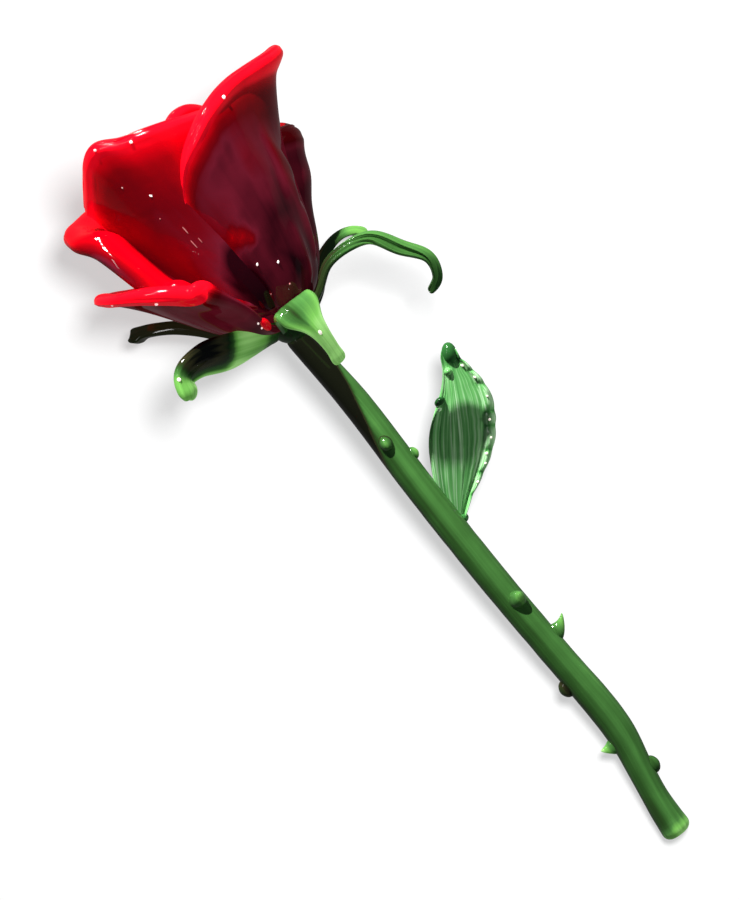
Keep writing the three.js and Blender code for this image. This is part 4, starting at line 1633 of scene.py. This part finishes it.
LAMPS = (
    Lamp("key", raised(38), 0.04, 2.2, BLOOM_NAMES),
    Lamp("side", raised(18), 0.03, 4.2, LEAF_NAMES, LEAF_NAMES + ("sepal_right_glass",)),
    Lamp("low", raised(38), 0.04, 2.2, STALK_NAMES, STALK_NAMES + LEAF_NAMES),
    Lamp("fill", Vector((-0.75, -1.0, 0.42)), 0.6, 0.4, LEAF_NAMES, LEAF_NAMES),
    Lamp("glint", raised(30), 0.35, 1.6, ROSE_NAMES, left_out=Ray.DIFFUSE),
    Lamp("soft", Vector((0.08, -0.24, 1.0)), 0.6, 2.1, ("table",)),
    Lamp(
        "strip", Vector((0.55, 0.35, 0.75)), 0.9, 0.16, ROSE_NAMES, left_out=Ray.DIFFUSE,
        distance=1.6, strip_width=0.08,
    ),
)


@dataclass
class Studio:
    """Table, light and camera."""

    scale: float = 0.0005
    centre: Pair = (0.0216, 0.0074)
    distance: float = 4.0
    focus_level: float = 0.045
    photo_height: int = 900
    sensor: float = 36.0
    floor_half: float = 9.0
    floor_grey: float = 0.25
    bounce_grey: float = 0.07
    floor_light: float = 0.58
    floor_in_gloss: float = 0.04
    sky: Colour = (0.72, 0.82, 1.0)
    sky_light: float = 0.07
    lamps: tuple[Lamp, ...] = LAMPS

    def camera(self) -> None:
        """Looks straight down on the rose with a long lens, the bloom at the upper left."""
        data = bpy.data.cameras.new("camera")
        data.lens = self.sensor * self.distance / (self.photo_height * self.scale)
        data.clip_end = 50.0
        camera = bpy.data.objects.new("camera", data)
        x, y = self.centre
        z = self.focus_level + self.distance
        camera.matrix_world = Matrix(
            ((-0.6, 0.8, 0, x), (-0.8, -0.6, 0, y), (0, 0, 1, z), (0, 0, 0, 1))
        )
        bpy.context.scene.collection.objects.link(camera)
        bpy.context.scene.camera = camera

    def floor_finish(self) -> bpy.types.Material:
        """Makes the table white to the camera, and dim where it lights the rose from below.

        Returns:
            The material.
        """
        made = bpy.data.materials.new("white_table")
        made.use_nodes = True
        tree = made.node_tree
        tree.nodes.clear()
        path = add_node(tree, "ShaderNodeLightPath").outputs
        either = calculate(tree, "MAXIMUM", path["Is Camera Ray"], path["Is Transmission Ray"])
        seen = calculate(tree, "MULTIPLY_ADD", path["Is Glossy Ray"], self.floor_in_gloss, either)
        level = calculate(tree, "MULTIPLY", seen, self.floor_light)
        dim, lit = (
            add_node(tree, "ShaderNodeBsdfDiffuse", {"Color": (grey, grey, grey, 1)}).outputs[0]
            for grey in (self.bounce_grey, self.floor_grey)
        )
        shown = add_node(tree, "ShaderNodeEmission", {"Strength": level}).outputs[0]
        bounce = add_node(tree, "ShaderNodeMixShader", {"Fac": either, 1: dim, 2: lit}).outputs[0]
        both = add_node(tree, "ShaderNodeAddShader", {0: bounce, 1: shown}).outputs[0]
        add_node(tree, "ShaderNodeOutputMaterial", {"Surface": both})
        return made

    def floor(self) -> Piece:
        """Lays the table that keeps the shadow.

        Returns:
            The table.
        """
        bm = bmesh.new()
        bmesh.ops.create_grid(bm, x_segments=4, y_segments=4, size=self.floor_half)
        mesh = bpy.data.meshes.new("table")
        bm.to_mesh(mesh)
        bm.free()
        floor = bpy.data.objects.new("table", mesh)
        bpy.context.scene.collection.objects.link(floor)
        floor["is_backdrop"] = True
        mesh.materials.append(self.floor_finish())
        return floor

    def world(self) -> None:
        """Dim cool surroundings, white where the camera looks past the table."""
        world = bpy.data.worlds.new("surroundings")
        world.use_nodes = True
        bpy.context.scene.world = world
        tree = world.node_tree
        tree.nodes.clear()
        dim = {"Color": (*self.sky, 1), "Strength": self.sky_light}
        sky = add_node(tree, "ShaderNodeBackground", dim).outputs[0]
        plain = add_node(tree, "ShaderNodeBackground").outputs[0]
        seen = add_node(tree, "ShaderNodeLightPath").outputs["Is Camera Ray"]
        pick = add_node(tree, "ShaderNodeMixShader", {"Fac": seen, 1: sky, 2: plain}).outputs[0]
        add_node(tree, "ShaderNodeOutputWorld", {"Surface": pick})

    def build(self) -> None:
        """Sets up the camera, the table and the light."""
        bpy.context.scene.view_settings.view_transform = "Standard"
        self.camera()
        floor = self.floor()
        self.world()
        around = [*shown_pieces(), floor]
        for lamp in self.lamps:
            lamp.hang(around)


def main() -> None:
    """Builds the rose and its studio, and reports the pieces."""
    logging.basicConfig(level=logging.INFO, format="%(message)s")
    workshop = Workshop()
    workshop.prepare((RED_GLASS, GREEN_GLASS, LEAF_GLASS))
    for assembly in (Stalk(), Cup(), Bloom()):
        assembly.build(workshop)
    Studio().build()


if __name__ == "__main__":
    main()
